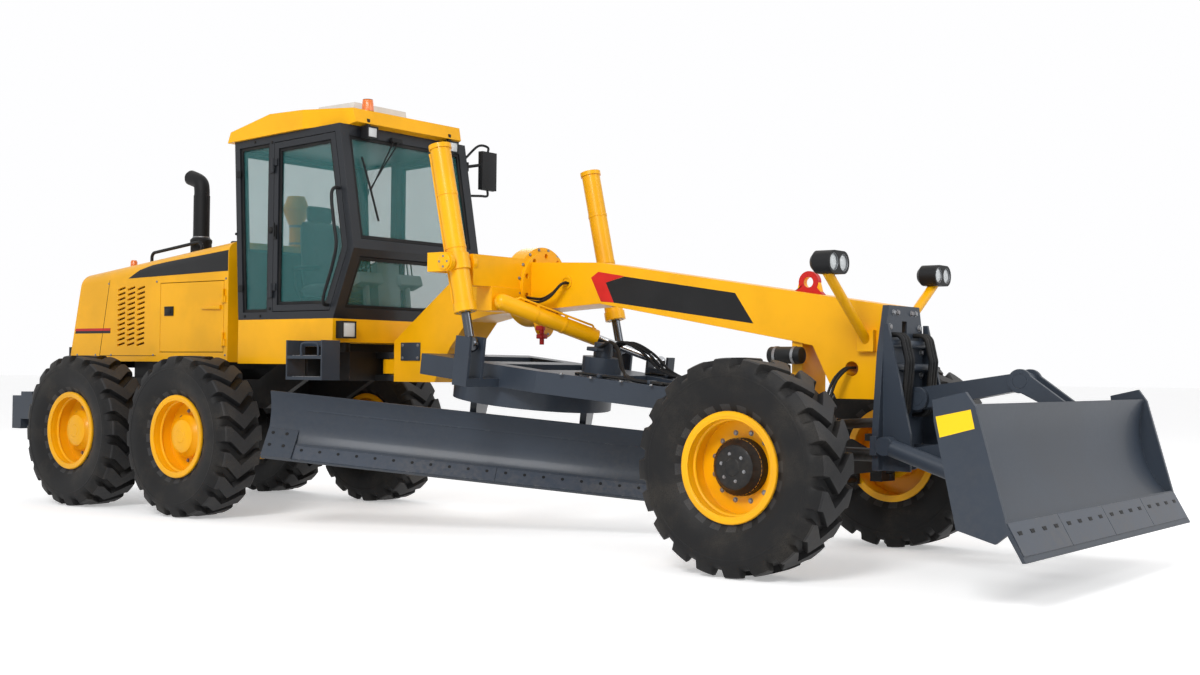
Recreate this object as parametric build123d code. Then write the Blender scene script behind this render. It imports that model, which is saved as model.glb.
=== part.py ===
from build123d import *
import os
from math import atan2, cos, degrees, hypot, radians, sin

# Motor grader with a front dozer blade, in millimetres.
# +X points forward, +Y to the driver's left, +Z up; the ground is Z = 0.
# Stations along the machine are measured forward from the tandem pivot.

# Running gear
WHEELBASE = 6219.0
TANDEM_SPACING = 1538.0
TRACK = 2160.0
TYRE_RADIUS = 675.0
TYRE_WIDTH = 445.0
TYRE_BEAD_HALF = 160.0
BEAD_STEP = 8.0
SIDEWALL_RADIUS = 490.0
LUG_COUNT = 20
LUG_DEPTH = 42.0
LUG_SLANT = 0.55
LUG_DRAFT = 1.0
LUG_SHOULDER = 0.8
LUG_WRAP = 95.0
SHOULDER_DROP = 4.0
GROOVE_INSET = 8.0
RIM_SEAT_RADIUS = 317.5
RIM_LIP_RADIUS = 345.0
RIM_WELL_RADIUS = 298.0
RIM_HALF_WIDTH = 178.0
RIM_FLANGE = 12.0
RIM_DISC = 22.0
HUB_RADIUS = 175.0
HUB_CAP_RADIUS = 138.0
HUB_BACK = 150.0
HUB_FACE = 70.0
HUB_CAP = 55.0
SPINDLE_RADIUS = 80.0
SPINDLE_DEPTH = 15.0
RUN_GAP = 0.4
BEAD_GAP = 0.5

# Tandem cases and rear axle
CASE_INNER = 600.0
CASE_OUTER = 800.0
CASE_HEIGHT = 380.0
CASE_OVERHANG = 215.0
BRAKE_RADIUS = 150.0
BRAKE_LENGTH = 100.0
AXLE_TUBE_RADIUS = 140.0
AXLE_BOWL_RADIUS = 250.0
AXLE_BOWL_HALF = 170.0

# Rear frame
RAIL_INNER = 360.0
RAIL_OUTER = 420.0
RAIL_REAR = 1850.0
RAIL_BOTTOM = 900.0
RAIL_TOP = 1150.0
NECK_BOTTOM = 1155.0
NECK_TOP = 1395.0
NECK_FRONT = 1960.0
NECK_REAR = 1400.0
HINGE_STATION = 2080.0
HINGE_PIN_RADIUS = 60.0
HINGE_EAR = 50.0
HINGE_EAR_RADIUS = 120.0
HINGE_EAR_GAP = 10.0
OUTRIGGER_TOP = 1300.0
OUTRIGGER_DEPTH = 60.0
CROSS_PLATE = 60.0

# Rear beam with its shanks and tow hitch
BEAM_REACH = 2300.0
BEAM_DEPTH = 190.0
BEAM_BOTTOM = 830.0
BEAM_TOP = 1000.0
BEAM_HALF = 900.0
SHANK_DEPTH = 150.0
SHANK_WIDTH = 95.0
BEAM_ARM_FRONT = -1465.0
BEAM_ARM_BOTTOM = 735.0
BEAM_ARM_WIDTH = 100.0
BEAM_ARM_SLOT = 90.0
SHANK_BOTTOM = 640.0
SHANK_STEP = 40.0
TOW_BORE_RADIUS = 26.0

# Hood and engine
HOOD_HALF = 650.0
HOOD_WALL = 25.0
HOOD_EDGE = 110.0
HOOD_REAR_LOW = -1726.0
HOOD_REAR_HIGH = -1530.0
HOOD_FRONT = 660.0
HOOD_REAR_TOP = 2130.0
HOOD_FRONT_TOP = 2360.0
ENGINE_REAR = -1150.0
ENGINE_FRONT = 350.0
ENGINE_HALF = 320.0
ENGINE_TOP = 1900.0
DOOR_PANEL_REAR = -300.0
DOOR_PANEL_FRONT = 600.0
DOOR_PANEL_BOTTOM = 1390.0
DOOR_PANEL_TOP = 2010.0
PANEL_GAP = 6.0
LOUVRE_COLUMNS = 3
LOUVRE_ROWS = 12
LOUVRE_REAR = -960.0
LOUVRE_LENGTH = 120.0
LOUVRE_PITCH_X = 150.0
LOUVRE_BOTTOM = 1460.0
LOUVRE_PITCH_Z = 47.0
LOUVRE_SLOT = 18.0
GRILLE_HALF = 460.0
GRILLE_BOTTOM = 1480.0
GRILLE_TOP = 1980.0
GRILLE_SLATS = 9
STACK_STATION = -120.0
STACK_SIDE = -350.0
STACK_RADIUS = 52.0
STACK_WALL = 6.0
STACK_TOP = 3040.0
CLEANER_STATION = 430.0
CLEANER_SIDE = 300.0
CLEANER_RADIUS = 125.0
CLEANER_TOP = 2850.0
RAIL_TUBE = 15.0

# Cab
CAB_HALF = 740.0
CAB_WALL = 60.0
CAB_SILL = 1660.0
CAB_REAR_LOW = 915.0
CAB_REAR_HIGH = 835.0
CAB_TOP_FALL = 50.0
CAB_FRONT_TOP = 3240.0
CAB_FRONT_HIGH = 2150.0
CAB_KNEE_STATION = 2335.0
CAB_KNEE_HEIGHT = 2220.0
CAB_FRONT_LOW = 2100.0
CAB_POST = 62.0
B_POST_STATION = 1322.0
B_POST_WIDTH = 60.0
DOOR_GAP = 6.0
DOOR_FRAME = 52.0
GLASS = 8.0
FLOOR_BOTTOM = 1470.0
FLOOR_THICK = 60.0
SKIRT_BOTTOM = 1287.0
SKIRT_FRONT_BOTTOM = 1432.0
SKIRT_WALL = 40.0
SKIRT_CUT_START = 1571.0
SKIRT_CUT_END = 1716.0
CAB_MOUNT_RADIUS = 55.0
ROOF_REAR = 775.0
ROOF_FRONT = 2215.0
ROOF_HALF_REAR = 770.0
ROOF_HALF_FRONT = 620.0
ROOF_KINK = 1323.0
ROOF_RISE = 145.0
ROOF_REAR_RISE = 85.0

HINGE_RADIUS = 14.0
HINGE_LENGTH = 60.0
CAB_HINGE_INSET = 240.0
PANEL_HINGES = (1500.0, 1880.0)

# Steps
STEP_REAR = 1760.0
STEP_FRONT = 2190.0
STEP_BOTTOM = 1160.0
STEP_TOP = 1480.0
STEP_REACH = 190.0
STEP_PLATE = 14.0

# Front frame
BEAM_HALF_WIDTH = 180.0
LEG_BOTTOM = 1150.0
LEG_REAR = 2235.0
LUG_HALF = 110.0
EYE_BACK = 155.0
EYE_LIFT = 72.0
EYE_RADIUS = 75.0
EYE_BORE = 36.0
EYE_HALF = 20.0
HOSE_HOLE_AHEAD = 263.0
HOSE_HOLE_HEIGHT = 1288.0
HOSE_HOLE_RADIUS = 48.0
HOSE_RADIUS = 15.0
HOSE_BEND = 55.0
HOSE_SIDES = (135.0, 175.0, 215.0)
HOSE_TOP_DROP = 190.0
HOSE_LOW_DROP = 110.0
HOSE_REACH = 125.0
BEND_REAR = 3055.0
BEND_MID = 3300.0
BEND_FRONT = 4387.0
HEAD_AHEAD = 506.0
HEAD_TOP = 1704.0
HEAD_BOTTOM = 720.0
HEAD_WALL = 60.0
ARCH_TOP = 1090.0
BOLSTER_BACK = 199.0
BOLSTER_DEPTH = 80.0
BOLSTER_HALF = 160.0
BOLSTER_BOTTOM = 640.0
BALL_BACK = 319.0
BALL_HEIGHT = 980.0
BALL_RADIUS = 85.0
BALL_NECK = 45.0
CUP_MOUTH = 130.0
CUP_MOUTH_RADIUS = 110.0
AXLE_PIN_HEIGHT = 720.0
AXLE_PIN_RADIUS = 45.0

# Saddle
SADDLE_REAR = 3545.0
SADDLE_FRONT = 3690.0
SADDLE_RADIUS = 310.0
SADDLE_CENTRE = 1905.0
SADDLE_FLANGE = 28.0
SADDLE_FLANGE_RADIUS = 278.0
SADDLE_HOLES = 10
SADDLE_HOLE_RADIUS = 20.0
SADDLE_HOLE_INSET = 38.0
TRUNNION_STATION = 3631.0
TRUNNION_HEIGHT = 2043.0
TRUNNION_RADIUS = 40.0
TRUNNION_COLLAR = 14.0
TRUNNION_COLLAR_HALF = 60.0
LIFT_SIDE = 910.0
LIFT_BARREL_RADIUS = 76.0
LIFT_ROD_RADIUS = 35.0
LIFT_BARREL_ABOVE = 905.0
LIFT_BARREL_BELOW = 375.0
LIFT_BALL_RADIUS = 62.0
GLAND_STEP = 9.0
GLAND_LENGTH = 70.0
LIFT_LEAN = 12.8
LIFT_BALL_DROP = 615.0
FORK_GAP = 25.0
FORK_PLATE = 40.0
FORK_HALF_HEIGHT = 70.0

# Drawbar, circle and main blade
CIRCLE_STATION = 3600.0
DRAWBAR_RISE = 253.92
DRAWBAR_SHOULDER = 550.0
DRAWBAR_BEAM = 170.0
DRAWBAR_HALF_DEPTH = 80.0
DRAWBAR_REAR_HALF = 640.0
DRAWBAR_REAR = 2980.0
CIRCLE_RADIUS = 620.0
CIRCLE_INNER = 520.0
CIRCLE_HEIGHT = 150.0
CIRCLE_GAP = 0.5
BLADE_LENGTH = 3660.0
BLADE_SHIFT = 170.0
BLADE_ANGLE = 32.0
BLADE_DROP = 92.0
BLADE_HEIGHT = 518.0
BLADE_STANDOFF = 330.0
BLADE_THICK = 22.0
BLADE_HOLLOW = 80.0
EDGE_HEIGHT = 150.0
EDGE_BELOW = 75.0
EDGE_THICK = 20.0
ARM_SPREAD = 430.0
ARM_THICK = 50.0
END_BIT_LENGTH = 240.0
END_BIT_THICK = 18.0
END_BIT_HEIGHT = 260.0
DRIVE_STATION = 4250.0
DRIVE_PLATE_HALF = 170.0
DRIVE_RADIUS = 150.0
DRIVE_HEIGHT = 120.0
MOTOR_RADIUS = 72.0
MOTOR_HEIGHT = 110.0
SHIFT_BARREL_RADIUS = 62.0
SHIFT_ROD_RADIUS = 30.0
SHIFT_BASE = (3760.0, -560.0, 1765.0)
SHIFT_END = (4420.0, 560.0, 1330.0)
SHIFT_BARREL_LENGTH = 800.0
SHIFT_BALL_RADIUS = 48.0
SHIFT_SWING = 36.0
SHIFT_CHEEK = 20.0
SHIFT_SEAT = 5.0

# Front axle, lean yokes and knuckles
LEAN_PIN_SIDE = 500.0
LEAN_PIN_HEIGHT = 640.0
LEAN_PIN_RADIUS = 40.0
KING_SIDE = 850.0
KING_RADIUS = 38.0
YOKE_CLEAR = 100.0
YOKE_WALL = 65.0
LEAN_BAR_AHEAD = 291.0
LEAN_BAR_HEIGHT = 930.0
LEAN_BAR_SIDE = 465.0
LEAN_BAR_RADIUS = 32.0
STEER_ARM = 250.0
TIE_RADIUS = 28.0
AXLE_HALF_DEPTH = 85.0

# Dozer
BRACKET_PLATE = 45.0
BRACKET_TOP = 1700.0
BRACKET_BOTTOM = 640.0
BRACKET_HALF = 300.0
CROSS_BAR_RADIUS = 26.0
LINK_AHEAD = 175.0
LINK_RUN = 690.0
LINK_RISE = 120.0
UPPER_PIVOT = 1100.0
LOWER_PIVOT = 720.0
LINK_PIN_RADIUS = 45.0
PUSH_SIDE = 225.0
PIVOT_CHEEK = 24.0
PIVOT_GAP = 6.0
PIVOT_EAR_RADIUS = 75.0
TOP_CHEEK_SIDE = 66.0
TOP_CHEEK = 30.0
BRACKET_FOOT_HALF = 360.0
PUSH_HALF = 45.0
DOZER_HALF = 1440.0
DOZER_AHEAD = 280.0
DOZER_TOP = 1100.0
DOZER_LEAN = 200.0
DOZER_LOW = 425.0
DOZER_LIP = 100.0
DOZER_TIP = 280.0
DOZER_HOLLOW = 110.0
DOZER_PLATE = 25.0
DOZER_SIDE_PLATE = 30.0
DOZER_EDGE_THICK = 25.0
DOZER_EDGE_LAP = 3.0
RAM_SIDE = 365.0
RAM_EYE_RADIUS = 60.0
RAM_BASE_HEIGHT = 800.0
RAM_END_BACK = 170.0
RAM_END_HEIGHT = 520.0
RAM_BARREL_RADIUS = 55.0
RAM_ROD_RADIUS = 28.0
RAM_BARREL_LENGTH = 560.0
RAM_ROD_START = 280.0

# Lamps
POD_BACK = 105.0
POD_SIDE = 750.0
POD_HEIGHT = 1945.0
POD_HALF_WIDTH = 132.0
POD_HALF_HEIGHT = 72.0
POD_HALF_DEPTH = 75.0
POD_CHAMFER = 28.0
POST_RADIUS = 32.0
POST_LEAN = 20.0
POST_FOOT = 1470.0
LENS_RECESS = 20.0
POD_LENS_SIDE = 62.0
LENS_RADIUS = 54.0

# Values worked out from the above
HEAD_FRONT = WHEELBASE + HEAD_AHEAD
BOLSTER_REAR = WHEELBASE - BOLSTER_BACK
BOLSTER_FRONT = BOLSTER_REAR + BOLSTER_DEPTH
BALL_STATION = WHEELBASE - BALL_BACK
DRAWBAR_PITCH = degrees(atan2(DRAWBAR_RISE, BALL_STATION - CIRCLE_STATION))
LEAN_BAR_STATION = WHEELBASE + LEAN_BAR_AHEAD
BRACKET_REAR = HEAD_FRONT
LINK_REAR = HEAD_FRONT + LINK_AHEAD
DOZER_TOP_STATION = LINK_REAR + LINK_RUN + DOZER_AHEAD
DOZER_LOW_STATION = DOZER_TOP_STATION + DOZER_LEAN
DOZER_TIP_STATION = DOZER_LOW_STATION + DOZER_LIP
RAM_BASE_STATION = BRACKET_REAR + BRACKET_PLATE + RAM_EYE_RADIUS + RUN_GAP
RAM_END_STATION = DOZER_TOP_STATION - RAM_END_BACK
POD_STATION = HEAD_FRONT - POD_BACK
CAB_REAR_TOP = CAB_FRONT_TOP - CAB_TOP_FALL
ROOF_TOP = CAB_FRONT_TOP + ROOF_RISE
ROOF_REAR_TOP = CAB_REAR_TOP + ROOF_REAR_RISE
CAB_HINGES = (CAB_SILL + CAB_HINGE_INSET, CAB_REAR_TOP - CAB_HINGE_INSET)
FRONT_REACH = DOZER_TIP_STATION
MID_STATION = (FRONT_REACH - BEAM_REACH) / 2
MID_AXLE = TANDEM_SPACING / 2
WHEEL_SIDE = TRACK / 2
CASE_CENTRE = TYRE_RADIUS
DISC_BACK = -20.0


def block(x0, x1, y0, y1, z0, z1):
    """Box between two corners."""
    centre = ((x0 + x1) / 2, (y0 + y1) / 2, (z0 + z1) / 2)
    return Pos(*centre) * Box(abs(x1 - x0), abs(y1 - y0), abs(z1 - z0))


def side_prism(points, y0, y1):
    """Side outline of (station, height) points, from y0 to y1."""
    plane = Plane(origin=(0, y1, 0), x_dir=(1, 0, 0), z_dir=(0, -1, 0))
    return extrude(plane * make_face(Polyline(*points, close=True)), y1 - y0)


def soft_side_prism(points, radius, y0, y1):
    """Side outline with every corner rounded."""
    plane = Plane(origin=(0, y1, 0), x_dir=(1, 0, 0), z_dir=(0, -1, 0))
    return extrude(plane * make_face(FilletPolyline(*points, radius=radius, close=True)), y1 - y0)


def plan_prism(points, z0, z1):
    """Plan outline of (station, side) points, from z0 to z1."""
    return extrude(Plane(origin=(0, 0, z0)) * make_face(Polyline(*points, close=True)), z1 - z0)


def end_prism(points, x0, x1):
    """End outline of (side, height) points, from x0 to x1."""
    plane = Plane(origin=(x0, 0, 0), x_dir=(0, 1, 0), z_dir=(1, 0, 0))
    return extrude(plane * make_face(Polyline(*points, close=True)), x1 - x0)


def bar(start, end, radius):
    """Round bar between two points."""
    start, end = Vector(*start), Vector(*end)
    plane = Plane(origin=start, z_dir=end - start)
    return extrude(plane * Circle(radius), (end - start).length)


def turned(points):
    """Body of revolution about Y from (radius, y) points."""
    return revolve(make_face(Polyline(*points, close=True)), Axis.Y)


def tube(points, bend, radius):
    """Round tube along straight runs joined by arcs."""
    path = FilletPolyline(*points, radius=bend)
    return sweep(Plane(origin=path @ 0, z_dir=path % 0) * Circle(radius), path)


def both_sides(shape):
    """The shape and its mirror image across the centre plane."""
    return Compound(children=[shape, mirror(shape, Plane.XZ)])


def other_side(shape):
    """Mirror image across the centre plane."""
    return mirror(shape, Plane.XZ)


def hinge_half(station, side, heights, leaf_end, upper):
    """Knuckles of one hinge half on the left side, each with a leaf lying on the skin."""
    half = None
    for z in heights:
        low = z if upper else z - HINGE_LENGTH
        axis = side + HINGE_RADIUS
        knuckle_bar = bar((station, axis, low), (station, axis, low + HINGE_LENGTH), HINGE_RADIUS)
        leaf = block(min(station, leaf_end), max(station, leaf_end), side, side + HINGE_RADIUS, low,
                     low + HINGE_LENGTH)
        knuckle_bar += leaf
        half = knuckle_bar if half is None else half + knuckle_bar
    return half


def door_hinge_station():
    """Station of the cab door's hinge line."""
    return B_POST_STATION + B_POST_WIDTH / 2 + DOOR_GAP / 2


def panel_hinge_station():
    """Station of the engine door's hinge line."""
    return DOOR_PANEL_FRONT + PANEL_GAP / 2


def rim():
    """Rim with deep disc, hub drum and domed cap, outer side towards +Y."""
    lip, flange = RIM_LIP_RADIUS, RIM_HALF_WIDTH - RIM_FLANGE
    bore = SPINDLE_RADIUS + RUN_GAP
    bore_end = SPINDLE_DEPTH + 5.0
    return turned([
        (bore, -HUB_BACK), (HUB_RADIUS, -HUB_BACK), (HUB_RADIUS, DISC_BACK),
        (RIM_WELL_RADIUS, DISC_BACK), (RIM_WELL_RADIUS, -RIM_HALF_WIDTH), (lip, -RIM_HALF_WIDTH),
        (lip, -flange), (RIM_SEAT_RADIUS, -flange), (RIM_SEAT_RADIUS, flange), (lip, flange),
        (lip, RIM_HALF_WIDTH), (RIM_WELL_RADIUS, RIM_HALF_WIDTH),
        (RIM_WELL_RADIUS, DISC_BACK + RIM_DISC), (HUB_RADIUS, DISC_BACK + RIM_DISC),
        (HUB_RADIUS, HUB_FACE), (HUB_CAP_RADIUS, HUB_FACE + HUB_CAP / 2),
        (HUB_CAP_RADIUS - 30.0, HUB_FACE + HUB_CAP), (0, HUB_FACE + HUB_CAP), (0, bore_end),
        (bore, bore_end),
    ])


def tyre_point(radius, side, angle):
    """Point of a tyre at a radius, a side distance and an angle in degrees from the lowest line."""
    turn = radians(angle - 90.0)
    return (radius * cos(turn), side, radius * sin(turn))


def tyre_half(sign):
    """Triangles of one tyre half: slanted lugs, grooves and sidewall, and its ring of bore points."""
    half = TYRE_WIDTH / 2
    pitch = 360.0 / LUG_COUNT
    first = -LUG_DRAFT if sign > 0 else pitch / 2 - LUG_DRAFT
    lean = LUG_SLANT * pitch
    shoulder_side = LUG_SHOULDER * half

    def line(index, raised):
        angle = first + index * pitch / 2
        if not raised:
            floor = TYRE_RADIUS - LUG_DEPTH
            return (tyre_point(floor, 0.0, angle),
                    tyre_point(floor - SHOULDER_DROP, sign * (shoulder_side - GROOVE_INSET), angle + lean),
                    tyre_point(TYRE_RADIUS - LUG_WRAP, sign * half, angle + lean))
        top = angle + (LUG_DRAFT if index % 2 == 0 else -LUG_DRAFT)
        return (tyre_point(TYRE_RADIUS, 0.0, top),
                tyre_point(TYRE_RADIUS - SHOULDER_DROP, sign * shoulder_side, top + lean),
                tyre_point(TYRE_RADIUS - LUG_WRAP, sign * half, angle + lean))

    triangles = []
    for index in range(2 * LUG_COUNT):
        raised = index % 2 == 0
        here, after = line(index, raised), line(index + 1, raised)
        for near, far in ((0, 1), (1, 2)):
            triangles += [(here[near], here[far], after[near]), (after[near], here[far], after[far])]
        low, high = line(index, False), line(index, True)
        triangles += [(low[0], low[1], high[0]), (high[0], low[1], high[1]), (low[1], low[2], high[1])]
        if raised:
            low_after = line(index + 1, False)
            triangles += [(low[0], here[0], after[0]), (low[0], after[0], low_after[0])]
    bore = (RIM_SEAT_RADIUS + BEAD_GAP) / cos(radians(pitch / 2))
    rings = [[tyre_point(radius, sign * side, first + lean + k * pitch) for k in range(LUG_COUNT)]
             for radius, side in ((SIDEWALL_RADIUS, half), (RIM_LIP_RADIUS + BEAD_STEP, TYRE_BEAD_HALF),
                                  (bore, TYRE_BEAD_HALF))]
    for k in range(LUG_COUNT):
        n = (k + 1) % LUG_COUNT
        a, b, c = (line(2 * k + step, True)[2] for step in (0, 1, 2))
        triangles += [(a, rings[0][k], b), (b, rings[0][k], rings[0][n]), (b, rings[0][n], c)]
        for outer, inner in zip(rings, rings[1:]):
            triangles += [(outer[k], inner[k], outer[n]), (outer[n], inner[k], inner[n])]
    return triangles, rings[-1]


def tyre():
    """Tyre with slanted lugs, the two halves half a pitch apart, as flat facets."""
    outer, outer_bore = tyre_half(1)
    inner, inner_bore = tyre_half(-1)
    bore = []
    start = min(range(LUG_COUNT), key=lambda k: hypot(inner_bore[k][0] - outer_bore[0][0],
                                                     inner_bore[k][2] - outer_bore[0][2]))
    for k in range(LUG_COUNT):
        n = (k + 1) % LUG_COUNT
        p, q = inner_bore[(start + k) % LUG_COUNT], inner_bore[(start + n) % LUG_COUNT]
        bore += [(outer_bore[k], p, outer_bore[n]), (outer_bore[n], p, q)]
    faces = [Face(Wire.make_polygon([Vector(*v) for v in corner])) for corner in outer + inner + bore]
    return Solid(Shell(faces))


def wheel_places():
    """Name, station and side sign of each wheel."""
    rows = (("front", WHEELBASE), ("mid", MID_AXLE), ("rear", -MID_AXLE))
    return [(f"{row}_{side}", x, sign) for row, x in rows for side, sign in (("left", 1), ("right", -1))]


def on_axle(shape, station, sign):
    """Set a wheel piece on its axle with the outer side outwards."""
    shape = shape if sign > 0 else other_side(shape)
    return Pos(station, sign * WHEEL_SIDE, TYRE_RADIUS) * shape


def spindle_end():
    """Side distance of a spindle's outer end."""
    return WHEEL_SIDE + SPINDLE_DEPTH


def tandem_case():
    """Left chain case with brake drums and wheel spindles."""
    plane = Plane(origin=(0, CASE_OUTER, CASE_CENTRE), x_dir=(1, 0, 0), z_dir=(0, -1, 0))
    outline = SlotOverall(TANDEM_SPACING + 2 * CASE_OVERHANG, CASE_HEIGHT)
    case = extrude(plane * outline, CASE_OUTER - CASE_INNER)
    for x in (-MID_AXLE, MID_AXLE):
        case += bar((x, CASE_OUTER, CASE_CENTRE), (x, CASE_OUTER + BRAKE_LENGTH, CASE_CENTRE), BRAKE_RADIUS)
        case += bar((x, CASE_OUTER, CASE_CENTRE), (x, spindle_end(), CASE_CENTRE), SPINDLE_RADIUS)
    return case


def tandem_drive():
    """Rear axle housing with pads under the frame rails and a chain case at each end."""
    tube_r, bowl, half = AXLE_TUBE_RADIUS, AXLE_BOWL_RADIUS, AXLE_BOWL_HALF
    housing = turned([(0, -CASE_INNER), (tube_r, -CASE_INNER), (tube_r, -half - 120.0), (bowl, -half),
                      (bowl, half), (tube_r, half + 120.0), (tube_r, CASE_INNER), (0, CASE_INNER)])
    housing = Pos(0, 0, CASE_CENTRE) * housing
    for sign in (-1, 1):
        housing += block(-200, 200, sign * RAIL_INNER, sign * RAIL_OUTER, CASE_CENTRE, RAIL_BOTTOM)
    case = tandem_case()
    return housing + case + other_side(case)


def rear_frame():
    """Rail frame with cross plates, hood outriggers, cab mounts and hinge ears."""
    rail = side_prism([
        (-RAIL_REAR, RAIL_BOTTOM), (900, RAIL_BOTTOM), (NECK_REAR, NECK_BOTTOM), (NECK_FRONT, NECK_BOTTOM),
        (NECK_FRONT, NECK_TOP), (1300, NECK_TOP), (800, RAIL_TOP), (-RAIL_REAR, RAIL_TOP),
    ], RAIL_INNER, RAIL_OUTER)
    frame = rail + other_side(rail)
    for x in (-RAIL_REAR, -1300.0, 500.0):
        frame += block(x, x + CROSS_PLATE, -RAIL_INNER, RAIL_INNER, RAIL_BOTTOM, RAIL_TOP)
    frame += block(NECK_FRONT - CROSS_PLATE, NECK_FRONT, -RAIL_INNER, RAIL_INNER, NECK_BOTTOM, NECK_TOP)
    for x in (-1500.0, 380.0):
        frame += block(x, x + 100.0, -HOOD_HALF, HOOD_HALF, OUTRIGGER_TOP - OUTRIGGER_DEPTH, OUTRIGGER_TOP)
        for sign in (-1, 1):
            frame += block(x, x + 100.0, sign * RAIL_INNER, sign * RAIL_OUTER, RAIL_TOP, OUTRIGGER_TOP)
    for x in (1400.0, 1850.0):
        for sign in (-1, 1):
            y = sign * (RAIL_INNER + RAIL_OUTER) / 2
            frame += bar((x, y, NECK_TOP), (x, y, FLOOR_BOTTOM), CAB_MOUNT_RADIUS)
    for z in (NECK_BOTTOM, NECK_TOP - HINGE_EAR):
        ear = block(NECK_FRONT, HINGE_STATION, -HINGE_EAR_RADIUS, HINGE_EAR_RADIUS, z, z + HINGE_EAR)
        ear += bar((HINGE_STATION, 0, z), (HINGE_STATION, 0, z + HINGE_EAR), HINGE_EAR_RADIUS)
        ear -= bar((HINGE_STATION, 0, z), (HINGE_STATION, 0, z + HINGE_EAR), HINGE_PIN_RADIUS + RUN_GAP)
        frame += ear
    return frame


def rear_beam():
    """Rear cross beam with its two shanks and the tow hitch."""
    back = -BEAM_REACH + SHANK_DEPTH
    arm_top = BEAM_TOP - SHANK_STEP
    beam = block(back, back + BEAM_DEPTH, -BEAM_HALF, BEAM_HALF, BEAM_BOTTOM, BEAM_TOP)
    for sign in (-1, 1):
        beam += block(back + BEAM_DEPTH, -RAIL_REAR, sign * RAIL_INNER, sign * RAIL_OUTER,
                      RAIL_BOTTOM, BEAM_TOP)
        outer = sign * BEAM_HALF
        beam += block(-BEAM_REACH, back, outer - sign * SHANK_WIDTH, outer, SHANK_BOTTOM, arm_top)
        inner = outer - sign * BEAM_ARM_WIDTH
        arm = block(back + BEAM_DEPTH, BEAM_ARM_FRONT, inner, outer, BEAM_ARM_BOTTOM, arm_top)
        arm += block(back, back + BEAM_DEPTH, inner, outer, BEAM_ARM_BOTTOM, BEAM_BOTTOM)
        mid = (back + BEAM_DEPTH + BEAM_ARM_FRONT) / 2
        slot = Plane(origin=(mid, 0, (BEAM_ARM_BOTTOM + arm_top) / 2), x_dir=(1, 0, 0), z_dir=(0, -1, 0))
        arm -= extrude(slot * SlotOverall(3 * BEAM_ARM_SLOT, BEAM_ARM_SLOT), 2 * BEAM_HALF, both=True)
        beam += arm
    for z in (BEAM_BOTTOM, BEAM_BOTTOM + 100.0):
        jaw = block(back - 110.0, back, -70, 70, z, z + 35.0)
        beam += jaw - bar((back - 60.0, 0, z), (back - 60.0, 0, z + 35.0), TOW_BORE_RADIUS)
    return beam


def engine_block():
    """Plain engine mass between the rails."""
    body = block(ENGINE_REAR, ENGINE_FRONT, -ENGINE_HALF, ENGINE_HALF, RAIL_BOTTOM + 60.0, ENGINE_TOP)
    for x in (ENGINE_REAR + 200.0, ENGINE_FRONT - 300.0):
        body += block(x, x + 100.0, -RAIL_INNER, RAIL_INNER, RAIL_TOP - 110.0, RAIL_TOP - 30.0)
    return body


def hood_profile(inset):
    """Side outline of the hood, drawn in from its skin by the inset."""
    low = OUTRIGGER_TOP if inset == 0 else OUTRIGGER_TOP - 100.0
    return [(HOOD_REAR_LOW + inset, low), (HOOD_FRONT - inset, low),
            (HOOD_FRONT - inset, HOOD_FRONT_TOP - inset), (HOOD_REAR_HIGH + inset, HOOD_REAR_TOP - inset)]


def hood():
    """Sheet hood with rounded upper edges, louvres, side doorways and a rear opening."""
    skin = side_prism(hood_profile(0), -HOOD_HALF, HOOD_HALF)
    upper = skin.faces().sort_by(Axis.Z)[-1].edges()
    skin = fillet(upper.filter_by(lambda e: abs(e.tangent_at(0.5).Y) < 0.5), HOOD_EDGE)
    inner = HOOD_HALF - HOOD_WALL
    hollow = side_prism(hood_profile(HOOD_WALL), -inner, inner)
    upper = hollow.faces().sort_by(Axis.Z)[-1].edges()
    hollow = fillet(upper.filter_by(lambda e: abs(e.tangent_at(0.5).Y) < 0.5), HOOD_EDGE - HOOD_WALL)
    shell = skin - hollow
    shell -= block(DOOR_PANEL_REAR - PANEL_GAP, DOOR_PANEL_FRONT + PANEL_GAP, -HOOD_HALF, HOOD_HALF,
                   DOOR_PANEL_BOTTOM - PANEL_GAP, DOOR_PANEL_TOP + PANEL_GAP)
    slots = []
    for column in range(LOUVRE_COLUMNS):
        for row in range(LOUVRE_ROWS):
            x = LOUVRE_REAR + column * LOUVRE_PITCH_X
            z = LOUVRE_BOTTOM + row * LOUVRE_PITCH_Z
            slots.append(Pos(x + LOUVRE_LENGTH / 2, 0, z) * Rot(0, -12, 0)
                         * Box(LOUVRE_LENGTH, 2 * HOOD_HALF + 20.0, LOUVRE_SLOT))
    shell -= slots
    shell -= block(HOOD_REAR_LOW - 50.0, ENGINE_REAR, -GRILLE_HALF, GRILLE_HALF, GRILLE_BOTTOM, GRILLE_TOP)
    hinge = hinge_half(panel_hinge_station(), HOOD_HALF, PANEL_HINGES, DOOR_PANEL_FRONT + 35.0, False)
    return shell + radiator_grille() + hinge + other_side(hinge)


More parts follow.
